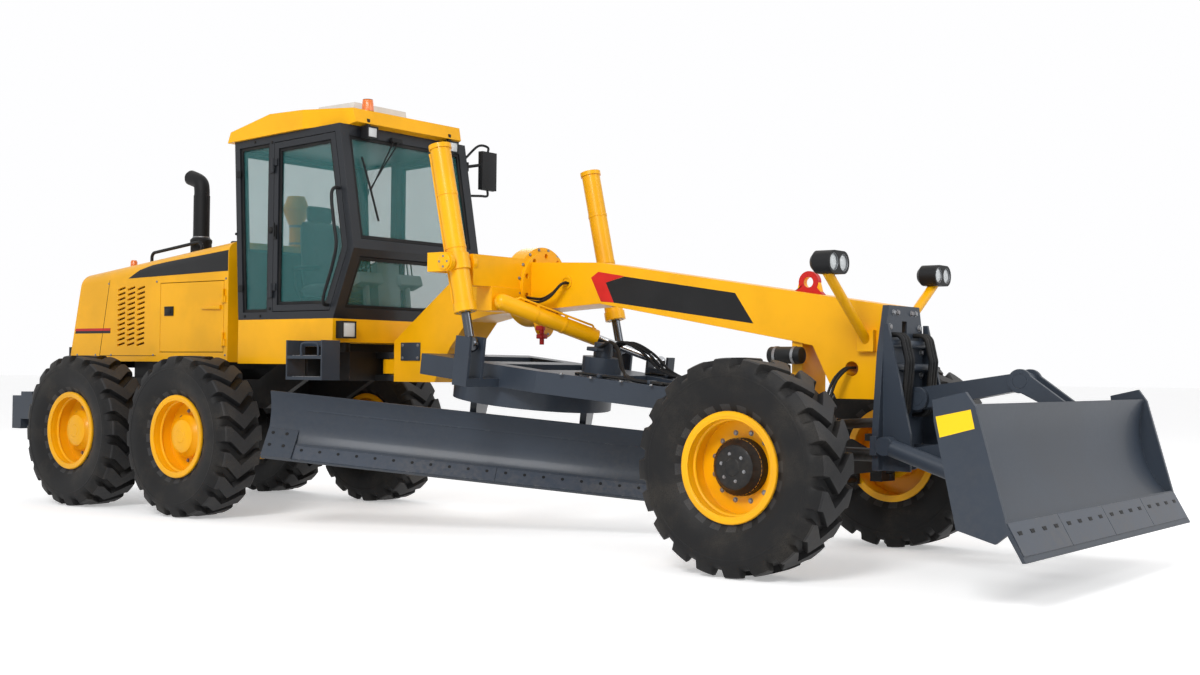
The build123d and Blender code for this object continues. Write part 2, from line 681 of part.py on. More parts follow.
def radiator_grille():
    """Slatted panel that fills the hood's rear opening."""
    slope = (HOOD_REAR_HIGH - HOOD_REAR_LOW) / (HOOD_REAR_TOP - OUTRIGGER_TOP)

    def skin_station(z):
        return HOOD_REAR_LOW + slope * (z - OUTRIGGER_TOP)

    def leaf(z0, z1, depth, setback):
        return [(skin_station(z0) + setback, z0), (skin_station(z0) + setback + depth, z0),
                (skin_station(z1) + setback + depth, z1), (skin_station(z1) + setback, z1)]

    panel = side_prism(leaf(GRILLE_BOTTOM, GRILLE_TOP, 30.0, 10.0), -GRILLE_HALF, GRILLE_HALF)
    pitch = (GRILLE_TOP - GRILLE_BOTTOM - 60.0) / GRILLE_SLATS
    for index in range(GRILLE_SLATS):
        z = GRILLE_BOTTOM + 30.0 + pitch * index
        inner = GRILLE_HALF - 40.0
        panel -= side_prism(leaf(z + 12.0, z + pitch - 6.0, 60.0, 0.0), -inner, inner)
    return panel


def engine_door():
    """Left engine side door that closes the hood's side doorway."""
    panel = block(DOOR_PANEL_REAR, DOOR_PANEL_FRONT, HOOD_HALF - HOOD_WALL, HOOD_HALF,
                  DOOR_PANEL_BOTTOM, DOOR_PANEL_TOP)
    return panel + hinge_half(panel_hinge_station(), HOOD_HALF, PANEL_HINGES, DOOR_PANEL_FRONT - 35.0, True)


def hood_top_at(station):
    """Height of the hood's top over a station."""
    share = (station - HOOD_REAR_HIGH) / (HOOD_FRONT - HOOD_REAR_HIGH)
    return HOOD_REAR_TOP + share * (HOOD_FRONT_TOP - HOOD_REAR_TOP)


def exhaust():
    """Exhaust stack with bell base and swept elbow."""
    foot = hood_top_at(STACK_STATION - 90.0)
    path = FilletPolyline((STACK_STATION, STACK_SIDE, foot), (STACK_STATION, STACK_SIDE, STACK_TOP - 90.0),
                          (STACK_STATION - 190.0, STACK_SIDE, STACK_TOP - 20.0), radius=110.0)
    ring = Circle(STACK_RADIUS) - Circle(STACK_RADIUS - STACK_WALL)
    pipe = sweep(Plane(origin=path @ 0, z_dir=path % 0) * ring, path)
    low, high = (STACK_STATION, STACK_SIDE, foot), (STACK_STATION, STACK_SIDE, foot + 150.0)
    stack = pipe + bar(low, high, 95.0) - bar(low, high, STACK_RADIUS - STACK_WALL)
    return stack - side_prism([(HOOD_REAR_HIGH, HOOD_REAR_TOP), (HOOD_FRONT, HOOD_FRONT_TOP),
                               (HOOD_FRONT, 1900), (HOOD_REAR_HIGH, 1900)], -HOOD_HALF, HOOD_HALF)


def air_cleaner():
    """Intake pipe with its round pre-cleaner bowl."""
    x, y = CLEANER_STATION, CLEANER_SIDE
    foot = hood_top_at(x - 60.0)
    body = bar((x, y, foot), (x, y, CLEANER_TOP - 260.0), 60.0)
    body += Pos(x, y, CLEANER_TOP - 190.0) * Cone(70.0, CLEANER_RADIUS, 140.0)
    body += Pos(x, y, CLEANER_TOP - 60.0) * Cone(CLEANER_RADIUS, 80.0, 120.0)
    return body - side_prism([(HOOD_REAR_HIGH, HOOD_REAR_TOP), (HOOD_FRONT, HOOD_FRONT_TOP),
                              (HOOD_FRONT, 1900), (HOOD_REAR_HIGH, 1900)], -HOOD_HALF, HOOD_HALF)


def hood_rails():
    """Low grab rails along the hood's top, one each side."""
    side, lift, rear, front = 480.0, 95.0, -680.0, 60.0
    low, high = hood_top_at(rear), hood_top_at(front)
    rail = tube([(rear, side, low - 5.0), (rear, side, low + lift), (front, side, high + lift),
                 (front, side, high - 5.0)], 50.0, RAIL_TUBE)
    return both_sides(rail - side_prism(hood_profile(0), -HOOD_HALF, HOOD_HALF))


def cab_outline():
    """Side outline of the cab above its sill."""
    return [(CAB_REAR_LOW, CAB_SILL), (CAB_FRONT_LOW, CAB_SILL), (CAB_KNEE_STATION, CAB_KNEE_HEIGHT),
            (CAB_FRONT_HIGH, CAB_FRONT_TOP), (CAB_REAR_HIGH, CAB_REAR_TOP)]


def inset_face(points, distance):
    """Side outline drawn in by a distance, as a face on the XZ plane."""
    return offset(make_face(Polyline(*points, close=True)), -distance, kind=Kind.INTERSECTION)


def side_sheet(face, y0, y1):
    """A flat (station, height) face given thickness from y0 to y1."""
    return extrude(Plane(origin=(0, y1, 0), x_dir=(1, 0, 0), z_dir=(0, -1, 0)) * face, y1 - y0)


def strip(x0, x1):
    """Tall upright strip used to part the cab's side outline."""
    return Pos((x0 + x1) / 2, (CAB_SILL + ROOF_TOP) / 2) * Rectangle(x1 - x0, ROOF_TOP)


def side_openings():
    """Quarter window and doorway faces of the cab's side."""
    clear = inset_face(cab_outline(), CAB_POST)
    quarter = clear & strip(0, B_POST_STATION - B_POST_WIDTH / 2)
    doorway = clear & strip(B_POST_STATION + B_POST_WIDTH / 2, CAB_KNEE_STATION + 200.0)
    return quarter, doorway


def cab_frame():
    """Cab posts, sills and headers around the windows and doorways."""
    shell = side_prism(cab_outline(), -CAB_HALF, CAB_HALF)
    inner = CAB_HALF - CAB_WALL
    shell -= side_sheet(inset_face(cab_outline(), CAB_WALL), -inner, inner)
    for face in side_openings():
        shell -= side_sheet(face, -CAB_HALF - 10.0, CAB_HALF + 10.0)
    side = inner - 30.0
    front_high = [(2000, 2300), (2600, 2300), (2600, CAB_FRONT_TOP - 90.0), (2000, CAB_FRONT_TOP - 90.0)]
    shell -= side_prism(front_high, -side, side)
    front_low = [(2000, CAB_SILL + 90.0), (2600, CAB_SILL + 90.0), (2600, 2160), (2000, 2160)]
    shell -= side_prism(front_low, -side, side)
    rear = [(700, 2250), (1000, 2250), (1000, CAB_REAR_TOP - 90.0), (700, CAB_REAR_TOP - 90.0)]
    shell -= side_prism(rear, -side, side)
    shell -= block(CAB_REAR_LOW + CAB_WALL, CAB_FRONT_LOW - CAB_WALL, -inner, inner,
                   CAB_SILL - 10.0, CAB_SILL + CAB_WALL + 10.0)
    hinge = hinge_half(door_hinge_station(), CAB_HALF, CAB_HINGES, B_POST_STATION - 20.0, False)
    return shell + hinge + other_side(hinge)


def face_station(z, low, high):
    """Station of a sloping cab face at a height."""
    share = (z - low[1]) / (high[1] - low[1])
    return low[0] + share * (high[0] - low[0])


def pane(low, high, z0, z1, depth, half):
    """Flat pane set into a sloping cab face, depth behind its skin."""
    return side_prism([
        (face_station(z0, low, high) + depth, z0), (face_station(z0, low, high) + depth + GLASS, z0),
        (face_station(z1, low, high) + depth + GLASS, z1), (face_station(z1, low, high) + depth, z1),
    ], -half, half)


def cab_glass():
    """Fixed windows: windscreen, lower screen, rear window and quarter windows."""
    knee = (CAB_KNEE_STATION, CAB_KNEE_HEIGHT)
    half = CAB_HALF - CAB_WALL - 30.0
    panes = [
        pane(knee, (CAB_FRONT_HIGH, CAB_FRONT_TOP), 2300, CAB_FRONT_TOP - 90.0, -30.0, half),
        pane((CAB_FRONT_LOW, CAB_SILL), knee, CAB_SILL + 90.0, 2160, -30.0, half),
        pane((CAB_REAR_LOW, CAB_SILL), (CAB_REAR_HIGH, CAB_REAR_TOP), 2250, CAB_REAR_TOP - 90.0, 20.0, half),
    ]
    quarter = side_sheet(side_openings()[0], CAB_HALF - 35.0, CAB_HALF - 35.0 + GLASS)
    panes += [quarter, other_side(quarter)]
    return Compound(children=panes)


def door_faces():
    """Outer face and window face of a cab door."""
    doorway = side_openings()[1]
    leaf = offset(doorway, -DOOR_GAP, kind=Kind.INTERSECTION)
    return leaf, offset(leaf, -DOOR_FRAME, kind=Kind.INTERSECTION)


def cab_door():
    """Left cab door frame with its hinge halves."""
    leaf, window = door_faces()
    inner = CAB_HALF - CAB_WALL
    door = side_sheet(leaf, inner, CAB_HALF) - side_sheet(window, inner - 10.0, CAB_HALF + 10.0)
    return door + hinge_half(door_hinge_station(), CAB_HALF, CAB_HINGES, door_hinge_station() + 45.0, True)


def cab_door_glass():
    """Left cab door pane."""
    window = door_faces()[1]
    return side_sheet(window, CAB_HALF - 35.0, CAB_HALF - 35.0 + GLASS)


def cab_base():
    """Cab floor with its skirts."""
    skirt = side_prism([
        (CAB_REAR_LOW, SKIRT_BOTTOM), (SKIRT_CUT_START, SKIRT_BOTTOM), (SKIRT_CUT_END, SKIRT_FRONT_BOTTOM),
        (CAB_FRONT_LOW, SKIRT_FRONT_BOTTOM), (CAB_FRONT_LOW, CAB_SILL), (CAB_REAR_LOW, CAB_SILL),
    ], CAB_HALF - SKIRT_WALL, CAB_HALF)
    base = skirt + other_side(skirt)
    base += block(CAB_REAR_LOW, CAB_FRONT_LOW, -CAB_HALF, CAB_HALF, FLOOR_BOTTOM, FLOOR_BOTTOM + FLOOR_THICK)
    base += block(CAB_REAR_LOW, CAB_REAR_LOW + SKIRT_WALL, -CAB_HALF, CAB_HALF, FLOOR_BOTTOM, CAB_SILL)
    base += block(CAB_FRONT_LOW - SKIRT_WALL, CAB_FRONT_LOW, -CAB_HALF, CAB_HALF, FLOOR_BOTTOM, CAB_SILL)
    return base


def cab_roof():
    """Roof cap with a kinked top, tapering towards the front."""
    under = [(ROOF_REAR, CAB_REAR_TOP - 6.0), (CAB_REAR_HIGH, CAB_REAR_TOP), (CAB_FRONT_HIGH, CAB_FRONT_TOP),
             (ROOF_FRONT, CAB_FRONT_TOP + 20.0), (ROOF_FRONT - 30.0, ROOF_TOP - 10.0), (ROOF_KINK, ROOF_TOP),
             (ROOF_REAR + 38.0, ROOF_REAR_TOP)]
    side = side_prism(under, -ROOF_HALF_REAR, ROOF_HALF_REAR)
    plan = plan_prism([(ROOF_REAR, -ROOF_HALF_REAR), (CAB_KNEE_STATION - 600.0, -ROOF_HALF_REAR),
                       (ROOF_FRONT, -ROOF_HALF_FRONT), (ROOF_FRONT, ROOF_HALF_FRONT),
                       (CAB_KNEE_STATION - 600.0, ROOF_HALF_REAR), (ROOF_REAR, ROOF_HALF_REAR)],
                      CAB_SILL, ROOF_TOP + 50.0)
    return side & plan


def roof_unit():
    """Air conditioner on the roof."""
    base = ROOF_TOP - 12.0
    low, high = base - 10.0, base + 130.0
    unit = end_prism([(-330, low), (330, low), (300, high), (-300, high)], 1400, 1850)
    return unit - side_prism([(ROOF_KINK, ROOF_TOP), (ROOF_FRONT - 30.0, ROOF_TOP - 10.0),
                              (ROOF_FRONT, CAB_SILL), (ROOF_KINK, CAB_SILL)], -CAB_HALF, CAB_HALF)


def beacon():
    """Round flashing lamp near the roof's front right corner."""
    x, y = 2040.0, -330.0
    low = ROOF_TOP - 10.0 * (x - ROOF_KINK) / (ROOF_FRONT - 30.0 - ROOF_KINK)
    return Pos(x, y, low + 60.0) * Cone(50.0, 42.0, 124.0) - cab_roof()


def seat():
    """Driver's seat: pedestal, cushion and backrest."""
    floor = FLOOR_BOTTOM + FLOOR_THICK
    base = block(1150, 1500, -170, 170, floor, floor + 330.0)
    base += block(1100, 1600, -250, 250, floor + 330.0, floor + 460.0)
    return base + side_prism([(1100, floor + 430.0), (1220, floor + 430.0), (1150, floor + 1080.0),
                              (1050, floor + 1080.0)], -230, 230)


def console():
    """Steering column and control pods."""
    floor = FLOOR_BOTTOM + FLOOR_THICK
    post = side_prism([(1900, floor), (2020, floor), (1960, floor + 620.0), (1840, floor + 560.0)], -130, 130)
    return post + steering_wheel()


def steering_wheel():
    """Steering wheel on its column."""
    floor = FLOOR_BOTTOM + FLOOR_THICK
    hub = (1852.0, 0.0, floor + 640.0)
    wheel = Torus(190.0, 14.0)
    for angle in (90, 210, 330):
        wheel += Rot(0, 0, angle) * (Pos(95, 0, 0) * Box(190, 26, 12))
    wheel += Pos(0, 0, -49) * Cylinder(34.0, 110.0)
    return Pos(*hub) * Rot(0, -26, 0) * wheel


def steps():
    """Boarding steps under each door."""
    outer = CAB_HALF + STEP_REACH
    ladder = None
    for x in (STEP_REAR, STEP_FRONT - STEP_PLATE):
        plate = block(x, x + STEP_PLATE, CAB_HALF, outer, STEP_BOTTOM, STEP_TOP)
        ladder = plate if ladder is None else ladder + plate
    for z in (STEP_BOTTOM, STEP_BOTTOM + 170.0):
        ladder += block(STEP_REAR, STEP_FRONT, CAB_HALF + 10.0, outer, z, z + 25.0)
    ladder += block(STEP_REAR, STEP_FRONT, CAB_HALF, CAB_HALF + STEP_PLATE, SKIRT_FRONT_BOTTOM, STEP_TOP)
    return both_sides(ladder)


def cab_lamps():
    """Work lamps under the roof's front edge, low front lamps and tail lamps."""
    lamps = []
    for sign in (-1, 1):
        y = sign * 480.0
        lamp = block(CAB_FRONT_HIGH + 38.0, CAB_FRONT_HIGH + 105.0, y - 60.0, y + 60.0,
                     CAB_FRONT_TOP - 105.0, CAB_FRONT_TOP - 5.0)
        stalk = block(CAB_FRONT_HIGH + 42.0, CAB_FRONT_HIGH + 62.0, y - 15.0, y + 15.0,
                      CAB_FRONT_TOP - 20.0, CAB_FRONT_TOP + 60.0)
        lamps.append(lamp + (stalk - cab_roof()))
        y = sign * (CAB_HALF - 110.0)
        lamps.append(block(CAB_FRONT_LOW, CAB_FRONT_LOW + 70.0, y - 75.0, y + 75.0, 1500, 1640))
        y = sign * 560.0
        lamps.append(block(HOOD_REAR_LOW - 60.0, HOOD_REAR_LOW + 10.0, y - 60.0, y + 60.0, 1345, 1435)
                     - side_prism(hood_profile(0), -HOOD_HALF, HOOD_HALF))
    return Compound(children=lamps + [beacon()])


def mirror_arm():
    """Left mirror on its arm."""
    root = (CAB_FRONT_HIGH + 3.0, CAB_HALF, CAB_FRONT_TOP - 190.0)
    tip = (CAB_FRONT_HIGH + 70.0, CAB_HALF + 150.0, root[2] + 30.0)
    arm = bar((root[0], root[1] + 8.0, root[2]), tip, 14.0)
    arm += block(root[0] - 30.0, root[0] + 30.0, CAB_HALF, CAB_HALF + 20.0, root[2] - 40.0, root[2] + 40.0)
    return arm + block(tip[0] - 25.0, tip[0] + 25.0, tip[1] - 20.0, tip[1] + 170.0,
                       tip[2] - 220.0, tip[2] + 120.0)


def beam_underside():
    """Underside bends of the arched beam, from the leg forwards."""
    return [(BEND_REAR, 1640), (BEND_MID, 1690), (BEND_FRONT, 1756)]


def beam_topside():
    """Topside bends of the arched beam, from the front backwards."""
    return [(BEND_FRONT, 2062), (BEND_MID, 2105), (BEND_REAR - 10.0, 2090)]


def gooseneck():
    """Main beam: hinge lug, leg, arched beam and front head."""
    half = BEAM_HALF_WIDTH
    body = side_prism([
        (LEG_REAR, LEG_BOTTOM), (LEG_REAR + 465.0, LEG_BOTTOM), (LEG_REAR + 635.0, 1430), *beam_underside(),
        (BOLSTER_REAR, 1475), (BOLSTER_REAR + 170.0, 1440), (BOLSTER_REAR + 350.0, ARCH_TOP),
        (HEAD_FRONT - HEAD_WALL, ARCH_TOP), (HEAD_FRONT - HEAD_WALL, HEAD_BOTTOM), (HEAD_FRONT, HEAD_BOTTOM),
        (HEAD_FRONT, HEAD_TOP), *beam_topside(), (LEG_REAR, 1485),
    ], -half, half)
    low, high = NECK_BOTTOM + HINGE_EAR + HINGE_EAR_GAP, NECK_TOP - HINGE_EAR - HINGE_EAR_GAP
    lug = block(HINGE_STATION, LEG_REAR, -LUG_HALF, LUG_HALF, low, high)
    lug += bar((HINGE_STATION, 0, low), (HINGE_STATION, 0, high), LUG_HALF)
    lug += bar((HINGE_STATION, 0, NECK_BOTTOM), (HINGE_STATION, 0, NECK_TOP), HINGE_PIN_RADIUS)
    body += lug
    body += block(BOLSTER_REAR, BOLSTER_FRONT, -BOLSTER_HALF, BOLSTER_HALF, BOLSTER_BOTTOM, 1500)
    body += bar((BOLSTER_REAR, 0, BALL_HEIGHT), (BALL_STATION, 0, BALL_HEIGHT), BALL_NECK)
    body += Pos(BALL_STATION, 0, BALL_HEIGHT) * Sphere(BALL_RADIUS)
    hole = (WHEELBASE + HOSE_HOLE_AHEAD, HOSE_HOLE_HEIGHT)
    body -= bar((hole[0], -half, hole[1]), (hole[0], half, hole[1]), HOSE_HOLE_RADIUS)
    return body + lifting_eye()


def beam_top_at(station):
    """Height of the beam's top between its front bend and the head."""
    share = (station - BEND_FRONT) / (HEAD_FRONT - BEND_FRONT)
    return beam_topside()[0][1] + share * (HEAD_TOP - beam_topside()[0][1])


def lifting_eye():
    """Rounded lifting eye on top of the beam."""
    x = WHEELBASE - EYE_BACK
    z = beam_top_at(x) + EYE_LIFT
    foot = beam_top_at(x) - 30.0
    plate = side_prism([(x - 1.35 * EYE_RADIUS, foot), (x + 1.35 * EYE_RADIUS, foot), (x + EYE_RADIUS, z),
                        (x - EYE_RADIUS, z)], -EYE_HALF, EYE_HALF)
    plate += bar((x, -EYE_HALF, z), (x, EYE_HALF, z), EYE_RADIUS)
    return plate - bar((x, -EYE_HALF, z), (x, EYE_HALF, z), EYE_BORE)


def hydraulic_hoses():
    """Hoses that loop down the dozer bracket's front."""
    hoses = []
    front = BRACKET_REAR + BRACKET_PLATE
    for side in HOSE_SIDES:
        for sign in (-1, 1):
            y = sign * side
            high, low = BRACKET_TOP - HOSE_TOP_DROP, UPPER_PIVOT - HOSE_LOW_DROP
            route = [(front, y, high), (front + 85.0, y, high), (front + HOSE_REACH, y, high - 170.0),
                     (front + 95.0, y, low), (front, y, low)]
            hoses.append(tube(route, HOSE_BEND, HOSE_RADIUS))
    return Compound(children=hoses)


def saddle():
    """Saddle drum around the beam with the forked lift arms."""
    drum = bar((SADDLE_REAR, 0, SADDLE_CENTRE), (SADDLE_FRONT, 0, SADDLE_CENTRE), SADDLE_RADIUS)
    fork_in = LIFT_SIDE - LIFT_BARREL_RADIUS - FORK_GAP - FORK_PLATE
    fork_out = LIFT_SIDE + LIFT_BARREL_RADIUS + FORK_GAP + FORK_PLATE
    low, high = TRUNNION_HEIGHT - FORK_HALF_HEIGHT, TRUNNION_HEIGHT + FORK_HALF_HEIGHT
    web = TRUNNION_STATION - LIFT_BARREL_RADIUS - 60.0
    for sign in (-1, 1):
        drum += block(SADDLE_REAR, SADDLE_FRONT, sign * 180.0, sign * (fork_in + FORK_PLATE), 1880, high)
        drum += block(web - 40.0, web, sign * fork_in, sign * fork_out, low, high)
        for y in (fork_in, fork_out - FORK_PLATE):
            plate = block(web, TRUNNION_STATION, sign * y, sign * (y + FORK_PLATE), low, high)
            plate += bar((TRUNNION_STATION, sign * y, TRUNNION_HEIGHT),
                         (TRUNNION_STATION, sign * (y + FORK_PLATE), TRUNNION_HEIGHT), FORK_HALF_HEIGHT)
            drum += plate
        drum -= bar((TRUNNION_STATION, sign * fork_in, TRUNNION_HEIGHT),
                    (TRUNNION_STATION, sign * fork_out, TRUNNION_HEIGHT), TRUNNION_RADIUS + RUN_GAP)
    drum = drum + index_flange() - gooseneck_hull()
    lug_y = SHIFT_BASE[1]
    seat_x = SHIFT_BASE[0] - SHIFT_BARREL_RADIUS - RUN_GAP
    lug = block(SADDLE_REAR, seat_x, lug_y - 50.0, -250.0, SHIFT_BASE[2] - 65.0, SHIFT_BASE[2] + 115.0)
    return drum + lug


def index_flange():
    """Round flange on the saddle's front with its ring of index holes."""
    face = SADDLE_FRONT + SADDLE_FLANGE
    flange = bar((SADDLE_FRONT, 0, SADDLE_CENTRE), (face, 0, SADDLE_CENTRE), SADDLE_FLANGE_RADIUS)
    ring = SADDLE_FLANGE_RADIUS - SADDLE_HOLE_INSET
    for index in range(SADDLE_HOLES):
        turn = radians(360.0 / SADDLE_HOLES * (index + 0.5))
        y, z = ring * cos(turn), SADDLE_CENTRE + ring * sin(turn)
        flange -= bar((SADDLE_FRONT, y, z), (face, y, z), SADDLE_HOLE_RADIUS)
    return flange


def gooseneck_hull():
    """Beam stretch inside the saddle drum, for its opening."""
    return side_prism(beam_underside() + beam_topside(), -BEAM_HALF_WIDTH, BEAM_HALF_WIDTH)


def lift_axis():
    """Unit direction down the lift cylinder, from trunnion to ball."""
    return Vector(sin(radians(LIFT_LEAN)), 0, -cos(radians(LIFT_LEAN)))


def trunnion(sign):
    """Trunnion point of a lift cylinder."""
    return Vector(TRUNNION_STATION, sign * LIFT_SIDE, TRUNNION_HEIGHT)


def lift_ball(sign):
    """Ball point at a lift cylinder's rod end."""
    return trunnion(sign) + lift_axis() * LIFT_BALL_DROP


def lift_barrel(sign):
    """Lift cylinder barrel with trunnions and gland."""
    top = trunnion(sign) - lift_axis() * LIFT_BARREL_ABOVE
    low = trunnion(sign) + lift_axis() * LIFT_BARREL_BELOW
    body = bar(top, low, LIFT_BARREL_RADIUS)
    reach = LIFT_BARREL_RADIUS + FORK_GAP + FORK_PLATE
    across, along = Vector(0, reach, 0), lift_axis() * TRUNNION_COLLAR_HALF
    body += bar(trunnion(sign) - across, trunnion(sign) + across, TRUNNION_RADIUS)
    body += bar(trunnion(sign) - along, trunnion(sign) + along, LIFT_BARREL_RADIUS + TRUNNION_COLLAR)
    body += bar(low - lift_axis() * GLAND_LENGTH, low, LIFT_BARREL_RADIUS + GLAND_STEP)
    body += bar(top, top + lift_axis() * GLAND_LENGTH / 2, LIFT_BARREL_RADIUS + GLAND_STEP)
    return body - bar(top + lift_axis() * 40.0, low + lift_axis() * 5.0, LIFT_ROD_RADIUS + RUN_GAP)


def lift_rod(sign):
    """Lift cylinder rod with its ball end."""
    top = trunnion(sign) - lift_axis() * (LIFT_BARREL_ABOVE - 150.0)
    rod = bar(top, lift_ball(sign), LIFT_ROD_RADIUS)
    return rod + Pos(*lift_ball(sign)) * Sphere(LIFT_BALL_RADIUS)


def pitched(shape):
    """Tilt a level drawbar piece about the drawbar ball."""
    to_ball = Pos(BALL_STATION, 0, BALL_HEIGHT)
    return to_ball * Rot(0, DRAWBAR_PITCH, 0) * Pos(-BALL_STATION, 0, -BALL_HEIGHT) * shape


def unpitched(point):
    """Where a point lies in the level drawbar frame."""
    dx, dz = point.X - BALL_STATION, point.Z - BALL_HEIGHT
    angle = radians(DRAWBAR_PITCH)
    x = dx * cos(angle) - dz * sin(angle)
    z = dx * sin(angle) + dz * cos(angle)
    return Vector(BALL_STATION + x, point.Y, BALL_HEIGHT + z)


def drawbar():
    """A-frame drawbar with ball cup, circle drive and lift ball cheeks."""
    low, high = BALL_HEIGHT - DRAWBAR_HALF_DEPTH, BALL_HEIGHT + DRAWBAR_HALF_DEPTH
    half, nose = DRAWBAR_REAR_HALF, BALL_STATION - 140.0
    shoulder, wide = CIRCLE_STATION + DRAWBAR_SHOULDER, DRAWBAR_BEAM
    outer = [(nose, -150), (shoulder, -half), (DRAWBAR_REAR, -half), (DRAWBAR_REAR, half), (shoulder, half),
             (nose, 150)]
    inner = [(nose - 420.0, -60), (shoulder - 50.0, wide - half), (DRAWBAR_REAR + wide, wide - half),
             (DRAWBAR_REAR + wide, half - wide), (shoulder - 50.0, half - wide), (nose - 420.0, 60)]
    frame = plan_prism(outer, low, high) - plan_prism(inner, low, high)
    cup = bar((nose, 0, BALL_HEIGHT), (BALL_STATION + 20.0, 0, BALL_HEIGHT), BALL_RADIUS + 35.0)
    cup -= Pos(BALL_STATION, 0, BALL_HEIGHT) * Sphere(BALL_RADIUS + RUN_GAP)
    mouth = Cone(BALL_NECK, CUP_MOUTH_RADIUS, CUP_MOUTH, align=(Align.CENTER, Align.CENTER, Align.MIN))
    frame += cup - Pos(BALL_STATION, 0, BALL_HEIGHT) * (Rot(0, 90, 0) * mouth)
    rear, front = DRIVE_STATION - DRIVE_PLATE_HALF, DRIVE_STATION + DRIVE_PLATE_HALF
    frame += block(rear, front, 120.0 - half, half - 120.0, low + 30.0, high)
    drive_top = high + DRIVE_HEIGHT
    frame += bar((DRIVE_STATION, 0, high), (DRIVE_STATION, 0, drive_top), DRIVE_RADIUS)
    frame += bar((DRIVE_STATION, 0, drive_top), (DRIVE_STATION, 0, drive_top + MOTOR_HEIGHT), MOTOR_RADIUS)
    frame += block(CIRCLE_STATION - 90.0, CIRCLE_STATION + 90.0, 100.0 - half, half - 100.0, low + 30.0, high)
    for sign in (-1, 1):
        ball = unpitched(lift_ball(sign))
        for offset_y in (-LIFT_BALL_RADIUS - RUN_GAP - 25.0, LIFT_BALL_RADIUS + RUN_GAP):
            frame += block(ball.X - 70.0, ball.X + 70.0, ball.Y + offset_y, ball.Y + offset_y + 25.0,
                           low, ball.Z + 55.0)
        frame += block(ball.X - 70.0, ball.X + 70.0, sign * (half - 60.0),
                       sign * (abs(ball.Y) + LIFT_BALL_RADIUS + RUN_GAP + 25.0), low, low + 60.0)
    end = unpitched(Vector(*SHIFT_END))
    reach = SHIFT_BALL_RADIUS + SHIFT_SWING
    for side in (-1, 1):
        x0 = end.X + side * reach
        frame += block(x0, x0 + side * SHIFT_CHEEK, end.Y - 45.0, end.Y + 45.0, high - 60.0, end.Z + 45.0)
    frame += block(end.X - reach, end.X + reach, end.Y - 45.0, end.Y + 45.0, high - 60.0,
                   end.Z - SHIFT_BALL_RADIUS - SHIFT_SEAT)
    return pitched(frame)


def circle_local(shape):
    """Turn and pitch a piece built under the circle's centre, blade along X, face to -Y."""
    top = BALL_HEIGHT - DRAWBAR_HALF_DEPTH - CIRCLE_GAP
    return pitched(Pos(CIRCLE_STATION, 0, top) * Rot(0, 0, BLADE_ANGLE) * shape)


def blade_arc(setback):
    """Front or back curve of the main blade's section in (side, height), facing -Y."""
    top = (-BLADE_STANDOFF + setback, -CIRCLE_HEIGHT - BLADE_DROP)
    low = (-BLADE_STANDOFF - 40.0 + setback, top[1] - BLADE_HEIGHT + 60.0)
    mid = ((top[0] + low[0]) / 2 + BLADE_HOLLOW, (top[1] + low[1]) / 2)
    return top, mid, low


def moldboard():
    """Concave main blade with its back rails."""
    top, mid, low = blade_arc(0.0)
    top_b, mid_b, low_b = blade_arc(BLADE_THICK)
    outline = [ThreePointArc(top, mid, low), Line(low, low_b), ThreePointArc(low_b, mid_b, top_b),
               Line(top_b, top)]
    start = -BLADE_LENGTH / 2 - BLADE_SHIFT
    plane = Plane(origin=(start, 0, 0), x_dir=(0, 1, 0), z_dir=(1, 0, 0))
    board = extrude(plane * make_face(outline), BLADE_LENGTH)
    for z in (top[1] - 110.0, low[1] + 90.0):
        y = BLADE_THICK - BLADE_STANDOFF + 60.0
        board += block(start + 300.0, start + BLADE_LENGTH - 300.0, y - 30.0, y + 75.0, z - 25.0, z + 25.0)
    return circle_local(board + cutting_edge())


def cutting_edge():
    """Cutting edge along the main blade's foot, before it is turned."""
    top, mid, low = blade_arc(0.0)
    chord = (top[1] - low[1]) / 2
    radius = (chord**2 + BLADE_HOLLOW**2) / (2 * BLADE_HOLLOW)
    lean = atan2(chord, radius - BLADE_HOLLOW)
    down = (-sin(lean), -cos(lean))
    ahead = (-cos(lean), sin(lean))

    def at(along, out):
        return (low[0] + along * down[0] + out * ahead[0], low[1] + along * down[1] + out * ahead[1])

    start = -BLADE_LENGTH / 2 - BLADE_SHIFT
    outline = [at(EDGE_BELOW - EDGE_HEIGHT, -4.0), at(EDGE_BELOW, -4.0), at(EDGE_BELOW, EDGE_THICK),
               at(EDGE_BELOW - EDGE_HEIGHT, EDGE_THICK)]
    edge = end_prism(outline, start, start + BLADE_LENGTH)
    high, face = EDGE_BELOW - END_BIT_HEIGHT, EDGE_THICK + END_BIT_THICK
    bit = [at(high, EDGE_THICK / 2), at(EDGE_BELOW, EDGE_THICK / 2), at(EDGE_BELOW, face), at(high, face)]
    edge += end_prism(bit, start, start + END_BIT_LENGTH)
    return edge + end_prism(bit, start + BLADE_LENGTH - END_BIT_LENGTH, start + BLADE_LENGTH)


def circle():
    """Circle ring with the two blade arms."""
    ring = Cylinder(CIRCLE_RADIUS, CIRCLE_HEIGHT) - Cylinder(CIRCLE_INNER, CIRCLE_HEIGHT)
    ring = Pos(0, 0, -CIRCLE_HEIGHT / 2) * ring
    top, mid, low = blade_arc(BLADE_THICK)
    back = BLADE_THICK - BLADE_STANDOFF + 60.0 + 75.0
    high, foot = -CIRCLE_HEIGHT + 1.0, low[1] + 40.0
    arm = [(back, high), (380, high), (380, -CIRCLE_HEIGHT - 60.0), (back + 130.0, foot), (back, foot)]
    for x in (-ARM_SPREAD, ARM_SPREAD):
        ring += end_prism(arm, x - ARM_THICK / 2, x + ARM_THICK / 2)
    ring += bar((-ARM_SPREAD, back + 90.0, -330), (ARM_SPREAD, back + 90.0, -330), 45.0)
    return circle_local(ring)


